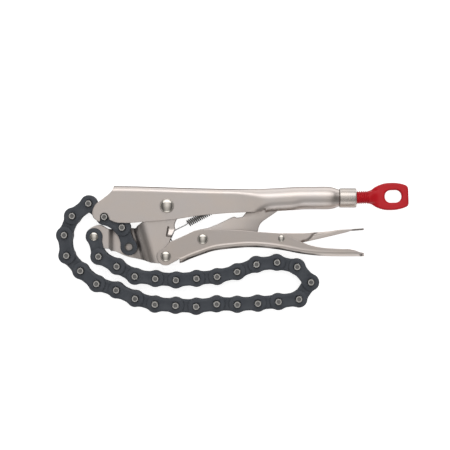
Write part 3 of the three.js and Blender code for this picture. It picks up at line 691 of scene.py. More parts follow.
SATIN = Finish(
    "satin_nickel", (0.665, 0.620, 0.602), (0.695, 0.625, 0.58), 1.0, (0.28, 0.40),
    grain=0.35, bump=0.007, patch=22, lines=0.35,
)
# Painted shade: the lever's plating is the body's satin nickel made darker, for the shade that falls on the
# handle.
SHADED_HANDLE = Finish(
    "satin_handle_painted_shade", (0.585, 0.535, 0.51), (0.61, 0.545, 0.50), 1.0, (0.28, 0.40),
    grain=0.35, bump=0.007, patch=18, lines=0.35,
)
TURNED = Finish(
    "turned_nickel", (0.58, 0.545, 0.515), (0.61, 0.55, 0.50), 1.0, (0.22, 0.34),
    grain=0.3, bump=0.005, patch=9, lines=0.5,
)
POLISHED = Finish(
    "polished_rivet", (0.70, 0.665, 0.615), (0.75, 0.71, 0.65), 1.0, (0.06, 0.11),
    grain=0.5, bump=0.001, patch=6,
)
BLUED = Finish(
    "blued_chain", (0.046, 0.052, 0.063), (0.060, 0.066, 0.077), 0.25, (0.42, 0.56),
    grain=0.4, bump=0.010, patch=7,
)
BUSHING = Finish(
    "chain_bushing", (0.05, 0.055, 0.06), (0.09, 0.09, 0.09), 0.7, (0.34, 0.48),
    grain=0.4, bump=0.004, patch=5,
)
PIN = Finish(
    "chain_pin", (0.115, 0.113, 0.112), (0.16, 0.156, 0.15), 0.35, (0.5, 0.68),
    grain=0.5, bump=0.006, patch=2.5,
)
PIN_RIM = Finish(
    "chain_pin_rim", (0.38, 0.37, 0.36), (0.46, 0.45, 0.43), 0.35, (0.45, 0.6),
    grain=0.5, bump=0.006, patch=2.5,
)
WIRE = Finish(
    "spring_wire", (0.36, 0.36, 0.36), (0.44, 0.43, 0.42), 1.0, (0.16, 0.26),
    grain=0.4, bump=0.002, patch=5,
)
RED = Finish(
    "red_coating", (0.44, 0.006, 0.012), (0.50, 0.010, 0.018), 0.0, (0.32, 0.46),
    grain=0.9, bump=0.016, patch=12, ior=1.34,
)


# The workshop


@dataclass
class Workshop:
    """Turns plan meshes into finished pieces that ride on the frame.

    Args:
        plan: The tool's plan.
    """

    plan: Plan

    def piece(
        self,
        name: str,
        bm: bmesh.types.BMesh,
        finish: Finish,
        slot: Slot,
        body: Body,
        node: str,
        sharp: float = 38.0,
    ) -> bpy.types.Object:
        """Dresses a mesh and puts it on its body.

        Args:
            name: The piece's name.
            bm: Its mesh in the plan, which is freed.
            finish: Its finish.
            slot: Its slot in the record; not used.
            body: The body that it rides on.
            node: The CAD node that it stands for.
            sharp: The angle in degrees from which an edge shows as sharp.

        Returns:
            The new object.
        """
        data = mesh_data(name, bm)
        data.materials.append(finish.material())
        return self.dress(name, data, slot, body.value, node, sharp)

    def dress(
        self, name: str, data: bpy.types.Mesh, slot: Slot, body: str | None, node: str, sharp: float = 38.0
    ) -> bpy.types.Object:
        """Stands a mesh that has its materials in the row frame and makes its object.

        Args:
            name: The piece's name.
            data: Its mesh in the plan.
            slot: Its slot in the record; not used.
            body: The body that it rides on, or None for no body.
            node: The CAD node that it stands for.
            sharp: The angle in degrees from which an edge shows as sharp.

        Returns:
            The new object.
        """
        data.transform(self.plan.matrix())
        data.polygons.foreach_set("use_smooth", [True] * len(data.polygons))
        data.set_sharp_from_angle(angle=math.radians(sharp))
        obj = stood(name, data)
        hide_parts(node)
        if body is not None:
            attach(obj, body)
        log.info("%s: %d faces on %s", name, len(data.polygons), body or "two bodies")
        return obj


@dataclass
class Assembly(ABC):
    """A sub-assembly of the tool.

    Args:
        shop: The workshop that finishes its pieces.
    """

    shop: Workshop

    @property
    def plan(self) -> Plan:
        """The tool's plan."""
        return self.shop.plan

    @abstractmethod
    def build(self) -> None:
        """Makes its pieces."""


# Upper body


@dataclass(frozen=True)
class Section:
    """One half of the body's section: a crowned roof, a fold, a wall and a lower bend.

    Args:
        top: The crown's height.
        half: Half the width.
        fold: The fold's radius.
        tilt: How far the roof leans where it meets the fold, in radians.
        wall: The wall's height.
        low: The lower bend's radius.
    """

    top: float
    half: float
    fold: float
    tilt: float
    wall: float
    low: float

    @property
    def roof(self) -> float:
        """The roof's run from the crown to the fold."""
        return self.half - self.fold * (1 - math.sin(self.tilt))

    @property
    def shoulder(self) -> float:
        """The height of the fold's centre, where the wall begins."""
        return self.top - self.tilt * self.roof / 2 - self.fold * math.cos(self.tilt)

    @property
    def wall_start(self) -> float:
        """The run from the crown to the wall."""
        return self.roof + self.fold * (math.pi / 2 - self.tilt)

    def at(self, run: float) -> tuple[float, float, float]:
        """The height, the half width and the turn of the outer face at a run from the crown."""
        if run <= self.roof:
            share = run / max(self.roof, 1e-6)
            return self.top - self.tilt * self.roof / 2 * share * share, run, self.tilt * share
        if run <= self.wall_start:
            turn = self.tilt + (run - self.roof) / self.fold
            across = self.half - self.fold * (1 - math.sin(turn))
            return self.shoulder + self.fold * math.cos(turn), across, turn
        if run <= self.wall_start + self.wall:
            return self.shoulder - (run - self.wall_start), self.half, math.pi / 2
        turn = (run - self.wall_start - self.wall) / self.low
        height = self.shoulder - self.wall - self.low * math.sin(turn)
        return height, self.half - self.low * (1 - math.cos(turn)), math.pi / 2 + turn


@dataclass
class UpperBody(Assembly):
    """The pressed upper body: a channel that is folded at the top and rolls into a tube."""

    nose_reach: float = 57.4
    channel_reach: float = 125.9
    rise: float = 15.4
    drop: float = 13.2
    sheet: float = 2.3
    fold_radius: float = 3.7
    crown_tilt: float = 0.22
    edge_radius: float = 3.0
    tube_diameter: float = 17.5
    neck_length: float = 6.9
    neck_diameter: float = 13.3
    slot_lip: float = 62.0
    seam_lip: float = 86.5
    slot_drop: float = 1.4
    notch_radius: float = 3.0
    hooked_pin: Pair = (-48.16, -8.48)
    relief_length: float = 3.4
    relief_height: float = 2.6
    wall_reach: float = 24.0
    tube_steps: int = 44
    tongue: tuple[Pair, ...] = ((45.8, 1.5), (47.8, 1.5), (47.8, 4.3), (45.8, 4.3))
    tongue_depths: Pair = (1.9, 8.6)

    nose_shares: tuple[Pair, ...] = (
        (-0.713, 0.99), (-0.737, 0.761), (-0.793, 0.545), (-0.905, 0.23), (-0.956, 0.065),
        (-0.984, -0.117), (-0.999, -0.356), (-1, -0.485), (-0.977, -0.724), (-0.93, -0.87),
    )
    lower_shares: tuple[Pair, ...] = (
        (-0.766, -0.82), (-0.735, -0.88), (-0.703, -0.935), (-0.659, -0.98), (-0.6, -0.995), (-0.502, -0.992),
        (-0.346, -0.935), (-0.162, -0.887), (-0.02, -0.83), (0.051, -0.775), (0.121, -0.668), (0.2, -0.565),
        (0.275, -0.49), (0.373, -0.413), (0.483, -0.368), (0.575, -0.352),
    )

    def __post_init__(self) -> None:
        """Sets the laws that the section follows along the body."""
        reach = self.channel_reach
        neck = reach + self.neck_length
        tube_top = 0.966 * self.rise
        self.top = Law([
            (-self.nose_reach, 0.996 * self.rise), (-0.713 * self.nose_reach, 0.996 * self.rise),
            (0.2 * reach, 0.886 * self.rise), (0.446 * reach, 0.851 * self.rise),
            (0.544 * reach, 0.853 * self.rise), (0.72 * reach, 0.92 * self.rise),
            (0.82 * reach, 0.962 * self.rise), (0.975 * reach, tube_top),
            (reach + 0.25 * self.neck_length, tube_top - 0.5), (neck, tube_top - 2.1),
        ])
        self.roll = Law([(0.4 * reach, 0.0), (0.5 * reach, 0.4), (0.6 * reach, 0.94), (0.64 * reach, 1.0)])
        self.lip = Law([
            (0.6 * reach, self.slot_lip), (0.76 * reach, self.slot_lip), (0.84 * reach, self.seam_lip),
        ])
        self.swage = Law([(0.975 * reach, 0.0), (reach + 0.25 * self.neck_length, 0.22), (neck, 1.0)])

    def section(self, x: float) -> Section:
        """The section at a place."""
        roll, swage = self.roll(x), self.swage(x)
        tube = (self.tube_diameter + (self.neck_diameter - self.tube_diameter) * swage) / 2
        slotted = 1 - (self.lip(x) - self.slot_lip) / (self.seam_lip - self.slot_lip)
        return Section(
            top=self.top(x),
            half=self.plan.body_half * (1 - roll) + tube * roll,
            fold=self.fold_radius * (1 - roll) + tube * roll,
            tilt=self.crown_tilt * (1 - roll),
            wall=self.wall_reach * (1 - roll) + self.slot_drop * slotted * roll,
            low=self.edge_radius * (1 - roll) + tube * roll,
        )

    def across(self, x: float, s: float, depth: float) -> Vector:
        """Where a point of the flat sheet goes.

        Args:
            x: Its place along the body.
            s: Its distance from the crown, round the section.
            depth: Its height over the sheet's outer face.

        Returns:
            The point in the plan.
        """
        y, z, turn = self.section(x).at(abs(s))
        side = math.copysign(1.0, s)
        return Vector((x, y + math.cos(turn) * depth, side * (z + math.sin(turn) * depth)))

    def run_to(self, x: float, y: float) -> float:
        """The distance from the crown, round the section, to a height on the wall or the fold."""
        section = self.section(x)
        over = y - section.shoulder
        bend = math.asin(unit(over / section.fold))
        return section.wall_start - section.fold * bend + max(0.0, -over)

    def lip_run(self, x: float) -> float:
        """The distance from the crown to the rolled edge of the tube."""
        section = self.section(x)
        return section.wall_start + section.wall + section.low * math.radians(self.lip(x))

    def half_outline(self) -> list[Pair]:
        """The flat sheet's edge on one side, from the nose's top to the neck, as (x, run) rows."""
        px, py = self.hooked_pin
        r = self.notch_radius
        reaches = (self.nose_reach, self.channel_reach, self.rise, self.drop)
        edge = curve_through(shares(self.nose_shares, (0, 0), *reaches))[1:]
        chin = [edge[-1], (px - 3.75, -12.2), (px - r - 0.25, py - 3.3), (px - r, py - 2.3)]
        edge += curve_through(chin, 3)[1:]
        edge += arc((px, py), r, 180, 25, 12)
        edge += curve_through(shares(self.lower_shares, (0, 0), *reaches), 4)
        rows = [(x, self.run_to(x, y)) for x, y in edge]
        start = self.lower_shares[-1][0] * self.channel_reach
        end = self.channel_reach + self.neck_length
        relief = rows[-1][1]
        steps = ((0.3, 0.5), (0.75, 1.0), (1.0, 1.0))
        rows += [
            (start + along * self.relief_length, relief - up * self.relief_height) for along, up in steps
        ]
        first = start + self.relief_length + 0.1
        tube = [first + (end - first) * i / self.tube_steps for i in range(self.tube_steps + 1)]
        return rows + [(x, self.lip_run(x)) for x in tube]

    def build(self) -> None:
        """Makes the body's sheet, with the tongue inside it."""
        half = self.half_outline()
        outline = half + mirrored(half)
        blank = Blank(resampled(outline, 1.6), -self.sheet, 0.0, (), 0.32, 3)
        body = blank.formed(lambda p: self.across(p.x, p.y, p.z), 1.8, 1.1)
        tongue = Blank(self.tongue, *self.tongue_depths, (), 0.2, 2).cut()
        self.shop.piece(
            "upper_body_shell", joined(body, tongue), SATIN, Slot.NICKEL, Body.FRAME, "upper_body"
        )


# Jaw


@dataclass
class Jaw(Assembly):
    """The lower jaw: two sheets that lie together at the ear and neck and flare round the rivets."""

    reach: float = 62.8
    boss: float = 8.1
    drop: float = 45.2
    lever_boss: float = 6.4
    saddle: Pair = (-34.6, -16.7)
    saddle_radius: float = 4.45
    slit_length: float = 8.0
    slit_width: float = 1.1
    slit_lean: float = 0.6
    lug_at: float = -22.4
    lug_reach: float = 4.4
    lug_edge: float = 1.6
    lug_height: float = 1.6
    sheet: float = 2.4
    lean: float = 0.29
    chain_hole: float = 2.8

    ear_shares: tuple[Pair, ...] = (
        (-0.977, -0.607), (-0.999, -0.56), (-1, -0.5), (-0.985, -0.436), (-0.94, -0.377), (-0.885, -0.338),
        (-0.832, -0.322), (-0.785, -0.343), (-0.751, -0.372), (-0.725, -0.392), (-0.66, -0.395),
    )
    flare_shares: tuple[Pair, ...] = (
        (-0.443, -0.377), (-0.385, -0.377), (-0.367, -0.343), (-0.306, -0.276), (-0.21, -0.138),
    )
    rear_shares: tuple[Pair, ...] = (
        (0.942, -0.213), (0.72, -0.3), (0.69, -0.345), (0.752, -0.394), (0.257, -0.6),
    )
    lower_shares: tuple[Pair, ...] = (
        (-0.2, -0.968), (-0.291, -0.925), (-0.38, -0.896), (-0.459, -0.876), (-0.54, -0.838), (-0.62, -0.785),
        (-0.668, -0.768),
    )
    ear_corner_shares: tuple[Pair, ...] = ((-0.685, -0.774), (-0.715, -0.731), (-0.8, -0.724), (-0.9, -0.668))

    def __post_init__(self) -> None:
        """Sets how far each sheet stands from the middle plane along the jaw."""
        step, flare = -0.725 * self.reach, -0.363 * self.reach
        self.outer = Law([
            (step - 0.6, 2.8), (step + 0.3, 2.7), (step + 3.9, 1.2), (step + 6.0, 0.88),
            (step + 9.0, 0.72), (flare - 9.5, 0.82), (flare - 1.5, 2.0), (flare - 0.3, 2.25),
            (flare + 0.8, 2.95), (flare + 1.8, 3.7), (flare + 2.7, 4.3), (flare + 3.5, 4.87),
            (flare + 5.5, 5.99), (flare + 7.5, 6.73), (flare + 9.5, 7.16),
            (flare + 11.5, self.plan.jaw_half),
        ])
        self.inner = Law([
            (flare - 0.5, 0.04), (flare + 1.0, 0.3), (flare + 3.0, 1.9), (flare + 5.0, 3.2),
            (flare + 8.0, 4.4), (flare + 11.5, self.plan.jaw_half - self.sheet),
        ])
        self.slit = (0.62 * self.boss - 4.6, -0.437 * self.drop)

    def lug(self, p: Vector) -> float:
        """How far the strip beyond the slit is pressed out as a seat for the spring's hook."""
        if p.x < self.slit[0]:
            return 0.0
        above = p.y - self.lug_at
        if above > 0:
            return self.lug_height * max(0.0, 1 - above / self.lug_reach)
        return self.lug_height * hump(-above / self.lug_edge)

    def slant(self, x: float) -> float:
        """How far the bends lean at a place: upright at the ear, leaning at the flare."""
        return self.lean * unit((x + 0.62 * self.reach) / (0.2 * self.reach))

    def press(self, p: Vector, side: int) -> Vector:
        """Where a point of the flat sheet on one side goes."""
        place = p.x + self.slant(p.x) * (p.y + 0.63 * self.drop)
        low, high = self.inner(place), self.outer(place)
        raised = self.lug(p) if side > 0 else 0.0
        return Vector((p.x, p.y, side * (low + (high - low) * p.z / self.sheet + raised)))

    def outline(self) -> list[Pair]:
        """The closed side outline."""
        reaches = (self.reach, self.boss, self.boss, self.drop)
        rows = (self.ear_shares, self.flare_shares, self.rear_shares, self.lower_shares)
        ear, flare, rear, lower = (curve_through(shares(row, (0, 0), *reaches), 3) for row in rows)
        return [
            *ear, *arc(self.saddle, self.saddle_radius, 196, 344, 10),
            *flare, *arc((0, 0), self.boss, 172, 2, 14),
            *rear, *arc(self.plan.lever_pivot, self.lever_boss, 60, -118, 14),
            *lower, *shares(self.ear_corner_shares, (0, 0), *reaches),
        ]

    def build(self) -> None:
        """Makes the two sheets and joins them in one piece."""
        x, y = self.slit
        half_w, half_l = self.slit_width / 2, self.slit_length / 2
        slit = [
            *arc((x + self.slit_lean, y + half_l - half_w), half_w, 0, 180, 4),
            *arc((x - self.slit_lean, y - half_l + half_w), half_w, 180, 360, 4),
        ]
        chain = ring(self.plan.chain_rivet, self.chain_hole, 24)
        sheets = []
        for side, holes in ((1, [chain, slit]), (-1, [chain])):
            blank = Blank(resampled(self.outline(), 1.5), 0.0, self.sheet, holes)
            sheets.append(blank.formed(partial(self.press, side=side), 0.5, 0.8))
        bmesh.ops.reverse_faces(sheets[-1], faces=sheets[-1].faces)
        self.shop.piece(
            "lower_jaw_sheets", joined(*sheets), SATIN, Slot.NICKEL, Body.JAW, "lower_jaw"
        )


# Lever


@dataclass
class Lever(Assembly):
    """The lever: two walls round the jaw that become a channel under the hand."""

    front: float = 6.8
    reach: float = 152.9
    rise: float = 20.7
    drop: float = 7.3
    sheet: float = 2.2
    bend: float = 3.2
    web_start: float = 10.6
    heel: Pair = (8.2, -3.4)
    corner: float = 4.5
    bead_width: float = 2.2

    top_shares: tuple[Pair, ...] = (
        (-0.02, 0.36), (0.018, 0.52), (0.05, 0.63), (0.087, 0.75), (0.118, 0.86), (0.144, 0.945),
        (0.174, 0.995), (0.21, 1.005), (0.247, 1), (0.384, 0.968), (0.469, 0.905), (0.55, 0.865),
        (0.595, 0.83), (0.622, 0.745), (0.691, 0.51), (0.73, 0.405), (0.79, 0.315), (0.888, 0.265),
        (0.93, 0.26), (0.958, 0.21), (0.98, 0.145), (0.999, 0.085),
    )
    bottom_shares: tuple[Pair, ...] = (
        (0.069, -0.707), (0.12, -0.3), (0.172, 0.037), (0.249, 0.216), (0.33, 0.29), (0.419, 0.335),
        (0.474, 0.325), (0.582, 0.235), (0.691, 0.085), (0.797, 0.012), (0.88, 0.0), (0.943, 0.0),
        (1, -0.011),
    )

    def __post_init__(self) -> None:
        """Sets the run of the web and the bead's height along the lever."""
        pivot, reaches = self.plan.lever_pivot, (self.front, self.reach, self.rise, self.drop)
        self.bottom = Law(shares(self.bottom_shares, pivot, *reaches))
        self.top = shares(self.top_shares, pivot, *reaches)
        bead_shares = ((0.05, 0.5), (0.5, 0.45), (0.72, 0.25), (0.95, 0.1))
        self.bead = Law([(share * self.reach, height) for share, height in bead_shares])

    def press(self, p: Vector) -> Vector:
        """Where a point of the flat sheet goes: p.y is the run from the web's middle, p.z the depth."""
        half = self.plan.lever_half
        bottom = self.bottom(p.x)
        side, run = math.copysign(1.0, p.y), abs(p.y)
        web, quarter = half - self.bend, self.bend * math.pi / 2
        walls_only = p.x < self.plan.lever_pivot[0] + self.web_start - 0.6
        if run >= web + quarter or walls_only:
            y, z, ny, nz = bottom + self.bend + run - web - quarter, half, 0.0, 1.0
        elif run >= web:
            angle = (run - web) / self.bend
            ny, nz = -math.cos(angle), math.sin(angle)
            y, z = bottom + self.bend + self.bend * ny, web + self.bend * nz
        else:
            y, z, ny, nz = bottom, run, -1.0, 0.0
        if not walls_only:
            z += self.bead(p.x) * hump(abs(run - web - quarter + 0.7) / self.bead_width)
        return Vector((p.x, y + ny * p.z, side * (z + nz * p.z)))

    def run_to(self, x: float, y: float) -> float:
        """The run from the web's middle to a height on the wall."""
        web = self.plan.lever_half - self.bend
        return web + self.bend * math.pi / 2 + y - self.bottom(x) - self.bend

    def build(self) -> None:
        """Makes the lever's sheet."""
        px, py = self.plan.lever_pivot
        foot = px + self.web_start
        edge = [
            (foot, self.bottom(foot) + self.bend), (px + self.heel[0], py + self.heel[1]),
            *arc((px, py), self.front + 0.2, -72, -200, 16), *curve_through(self.top, 4),
        ]
        half = [(x, self.run_to(x, y)) for x, y in edge]
        end, low = px + self.reach - self.corner, self.plan.lever_half - self.bend + 1.0
        half[-1] = (end, max(half[-1][1], low))
        for i in range(1, 7):
            angle = math.pi / 2 * i / 6
            half.append((end + self.corner * math.sin(angle), low + self.corner * (math.cos(angle) - 1)))
        outline = [(foot, 0.0), *half, *mirrored(half)]
        blank = Blank(resampled(outline, 1.5), -self.sheet, 0.0, (), 0.32, 3)
        lever = blank.formed(self.press, 1.8, 0.9)
        self.shop.piece("lever_channel", lever, SHADED_HANDLE, Slot.NICKEL, Body.LEVER, "lever")


# Toggle link and release lever


@dataclass
class ToggleLink(Assembly):
    """The thick stamped link between the lever and the screw."""

    thickness: float = 5.0
    boss: float = 7.7
    length: float = 50.25
    rise: float = 28.5
    end_radius: float = 4.6
    hole: float = 2.85

    upper_shares: tuple[Pair, ...] = (
        (0.0, 0.27), (0.097, 0.31), (0.3, 0.46), (0.468, 0.597), (0.495, 0.6), (0.515, 0.578),
        (0.56, 0.583), (0.603, 0.595), (0.625, 0.63), (0.667, 0.727),
    )
    lower_shares: tuple[Pair, ...] = (
        (1.141, 0.746), (1.05, 0.635), (0.967, 0.538), (0.915, 0.47), (0.882, 0.406), (0.86, 0.32),
        (0.849, 0.235), (0.823, 0.068),
    )

    def build(self) -> None:
        """Makes the link's plate."""
        pivot = self.plan.link_pivot
        reaches = (self.boss, self.length, self.rise, self.boss)
        end = (pivot[0] + self.length, pivot[1] + self.rise)
        outline = [
            *arc(pivot, self.boss, -72, -260, 24),
            *curve_through(shares(self.upper_shares, pivot, *reaches), 4),
            *arc(end, self.end_radius, 144, -16, 14),
            *curve_through(shares(self.lower_shares, pivot, *reaches), 4),
        ]
        half = self.thickness / 2
        hole = ring(pivot, self.hole, 28)
        link = Blank(resampled(outline, 1.5), -half, half, [hole], 0.45, 3).cut()
        self.shop.piece("toggle_link_plate", link, SATIN, Slot.NICKEL, Body.TOGGLE, "toggle_link")


@dataclass
class ReleaseLever(Assembly):
    """The release lever: two small walls, a nose web and a thumb piece that curls up between them."""

    front: float = 14.8
    reach: float = 64.0
    rise: float = 7.8
    drop: float = 5.5
    half: float = 7.0
    sheet: float = 1.7
    tail: float = 1.5
    tip: float = 10.0
    tip_shares: tuple[Pair, ...] = (
        (0.0, -1.0), (0.08, -0.97), (0.8, -0.55), (0.93, -0.44), (0.985, -0.3), (1.0, -0.15),
    )
    step_start: Pair = (104.9, -26.3)
    step_end: Pair = (112.4, -21.4)
    step_depth: float = 0.9
    step_bow: float = 1.1
    step_width: float = 2.0
    step_slope: float = 0.26
    step_lean: float = 0.1375
    hole: float = 1.85
    nose: tuple[Pair, ...] = ((0.0, -1.5), (1.7, -2.3), (1.7, 2.1), (0.0, 2.0))

    wall_shares: tuple[Pair, ...] = (
        (-1, 0.277), (-1, -0.308), (-0.75, -0.62), (-0.479, -0.869), (-0.2, -0.99), (0.106, -1.009),
        (0.225, -0.76), (0.27, -0.54), (0.371, -0.275), (0.467, -0.036), (0.6, 0.231), (0.769, 0.558),
        (0.853, 0.765), (0.853, 0.904), (0.708, 0.864), (0.588, 0.696), (0.443, 0.607), (0.287, 0.51),
        (0.037, 0.504), (-0.479, 0.474),
    )
    tail_shares: tuple[Pair, ...] = (
        (0.265, -0.16), (0.3, 0.06), (0.34, 0.26), (0.399, 0.42), (0.5, 0.56), (0.604, 0.682), (0.691, 0.8),
        (0.863, 0.93), (1, 1),
    )

    def build(self) -> None:
        """Makes the walls, the nose web and the thumb piece in one piece."""
        pivot = self.plan.release_pivot
        reaches = (self.front, self.reach, self.rise, self.drop)
        outline = resampled(shares(self.wall_shares, pivot, *reaches), 1.5)
        hole = ring(pivot, self.hole, 20)
        walls = [
            Blank(outline, low, low + self.sheet, [hole], 0.3, 3).formed(self.narrowed, 0.5, 0.5)
            for low in (self.half - self.sheet, -self.half)
        ]
        left, base = pivot[0] - self.front, pivot[1]
        corners = [(left + x, base + y) for x, y in self.nose]
        nose = Blank(corners, -self.half + 1, self.half - 1, (), 0.2, 2).cut()
        release = joined(*walls, self.thumb(shares(self.tail_shares, pivot, *reaches)), nose)
        self.shop.piece(
            "release_lever_sheet", release, SATIN, Slot.NICKEL, Body.RELEASE, "release_lever"
        )

    def narrowed(self, p: Vector) -> Vector:
        """Where a point of a wall goes: inwards past the pressed step."""
        (x0, y0), (x1, y1) = self.step_start, self.step_end
        length = math.dist(self.step_start, self.step_end)
        past = ((p.x - x0) * (y1 - y0) - (p.y - y0) * (x1 - x0)) / length
        bow = self.step_bow * math.sin(math.pi * unit((p.x - x0) / (x1 - x0)))
        share = unit((past - bow) / self.step_width + 0.3)
        above = p.y - y0 - self.step_slope * (p.x - x0)
        inward = self.step_depth * eased(share) + self.step_lean * share * max(0.0, above)
        return Vector((p.x, p.y, p.z - math.copysign(inward, p.z)))

    def thumb(self, corners: Sequence[Pair]) -> bmesh.types.BMesh:
        """The thumb piece, curled along a line between the walls.

        Args:
            corners: The corners of the line.

        Returns:
            A closed mesh.
        """
        line = curve_through(corners, 6)
        lengths = [0.0]
        for a, b in zip(line, line[1:]):
            lengths.append(lengths[-1] + math.dist(a, b))
        across, along = (Law([(run, p[i]) for run, p in zip(lengths, line)]) for i in (0, 1))
        total, half = lengths[-1], self.half - self.step_depth - 0.1
        step = 0.05

        def curl(p: Vector) -> Vector:
            """Where a point of the flat strip goes."""
            run = min(max(p.x, step), total - step)
            near, far = run - step, run + step
            ahead = Vector((across(far) - across(near), along(far) - along(near)))
            ahead.normalize()
            here = Vector((across(run), along(run))) + ahead * (p.x - run)
            return Vector((here.x - ahead.y * p.z, here.y + ahead.x * p.z, p.y))

        edge = [(total - self.tip * (1 - x), half * y) for x, y in self.tip_shares]
        strip = [(0.0, -half), *edge, *mirrored(edge), (0.0, half)]
        thumb = Blank(resampled(strip, 1.5), -self.tail, 0.0, (), 0.25, 2).formed(curl, 0.9)
        bmesh.ops.recalc_face_normals(thumb, faces=thumb.faces)
        return thumb


# Rivets, ferrule and screw


@dataclass(frozen=True)
class RivetSize:
    """One rivet, in millimetres.

    Args:
        node: Its CAD node.
        body: The body that it rides on.
        centre: Its axis in the plan.
        shaft, dome: The radii of its shaft and of its dome.
        height: How far the dome stands over its seat.
        seat, tail: The depths of the dome's seat and of the flat end.
        rim, edge: The height of the dome's upright rim, and the chamfer of the flat end.
    """

    node: str
    body: Body
    centre: Pair
    shaft: float
    dome: float
    height: float
    seat: float
    tail: float
    rim: float = 0.25
    edge: float = 0.3


@dataclass
class Rivets(Assembly):
    """The five rivets, each with a polished dome in front and a flat tail behind."""

    def sizes(self) -> list[RivetSize]:
        """The five rivets' sizes."""
        plan = self.plan
        body, lever, rest = plan.body_half + 0.3, plan.lever_half + 0.3, plan.rest_depth
        return [
            RivetSize("jaw_rivet", Body.FRAME, (0, 0), 3.2, 5.45, 2.4, body, rest),
            RivetSize("lever_rivet", Body.JAW, plan.lever_pivot, 2.6, 4.05, 1.9, lever, rest),
            RivetSize("link_rivet", Body.LEVER, plan.link_pivot, 2.6, 4.05, 1.9, lever, rest),
            RivetSize("release_rivet", Body.LEVER, plan.release_pivot, 1.6, 2.6, 1.2, lever, rest),
            RivetSize("chain_rivet", Body.JAW, plan.chain_rivet, 2.54, 3.3, 1.3, 5.3, 6.6),
        ]

    def build(self) -> None:
        """Makes the rivets."""
        for size in self.sizes():
            dome = [
                (size.dome * math.cos(a), size.seat + size.rim + (size.height - size.rim) * math.sin(a))
                for a in (math.pi / 2 * i / 14 for i in range(15))
            ]
            dome[-1] = (0.0, size.seat + size.height)
            profile = [
                (0.0, -size.tail), (size.dome * 0.3, -size.tail), (size.dome - size.edge, -size.tail),
                (size.dome, size.edge - size.tail), (size.dome, -size.seat), (size.shaft, -size.seat),
                (size.shaft, size.seat), (size.dome - 0.1, size.seat), *dome,
            ]
            rivet = moved(revolve(profile, 48), Matrix.Translation((*size.centre, 0)))
            self.shop.piece(
                f"{size.node}_dome", rivet, POLISHED, Slot.BRIGHT, size.body, size.node, sharp=50
            )


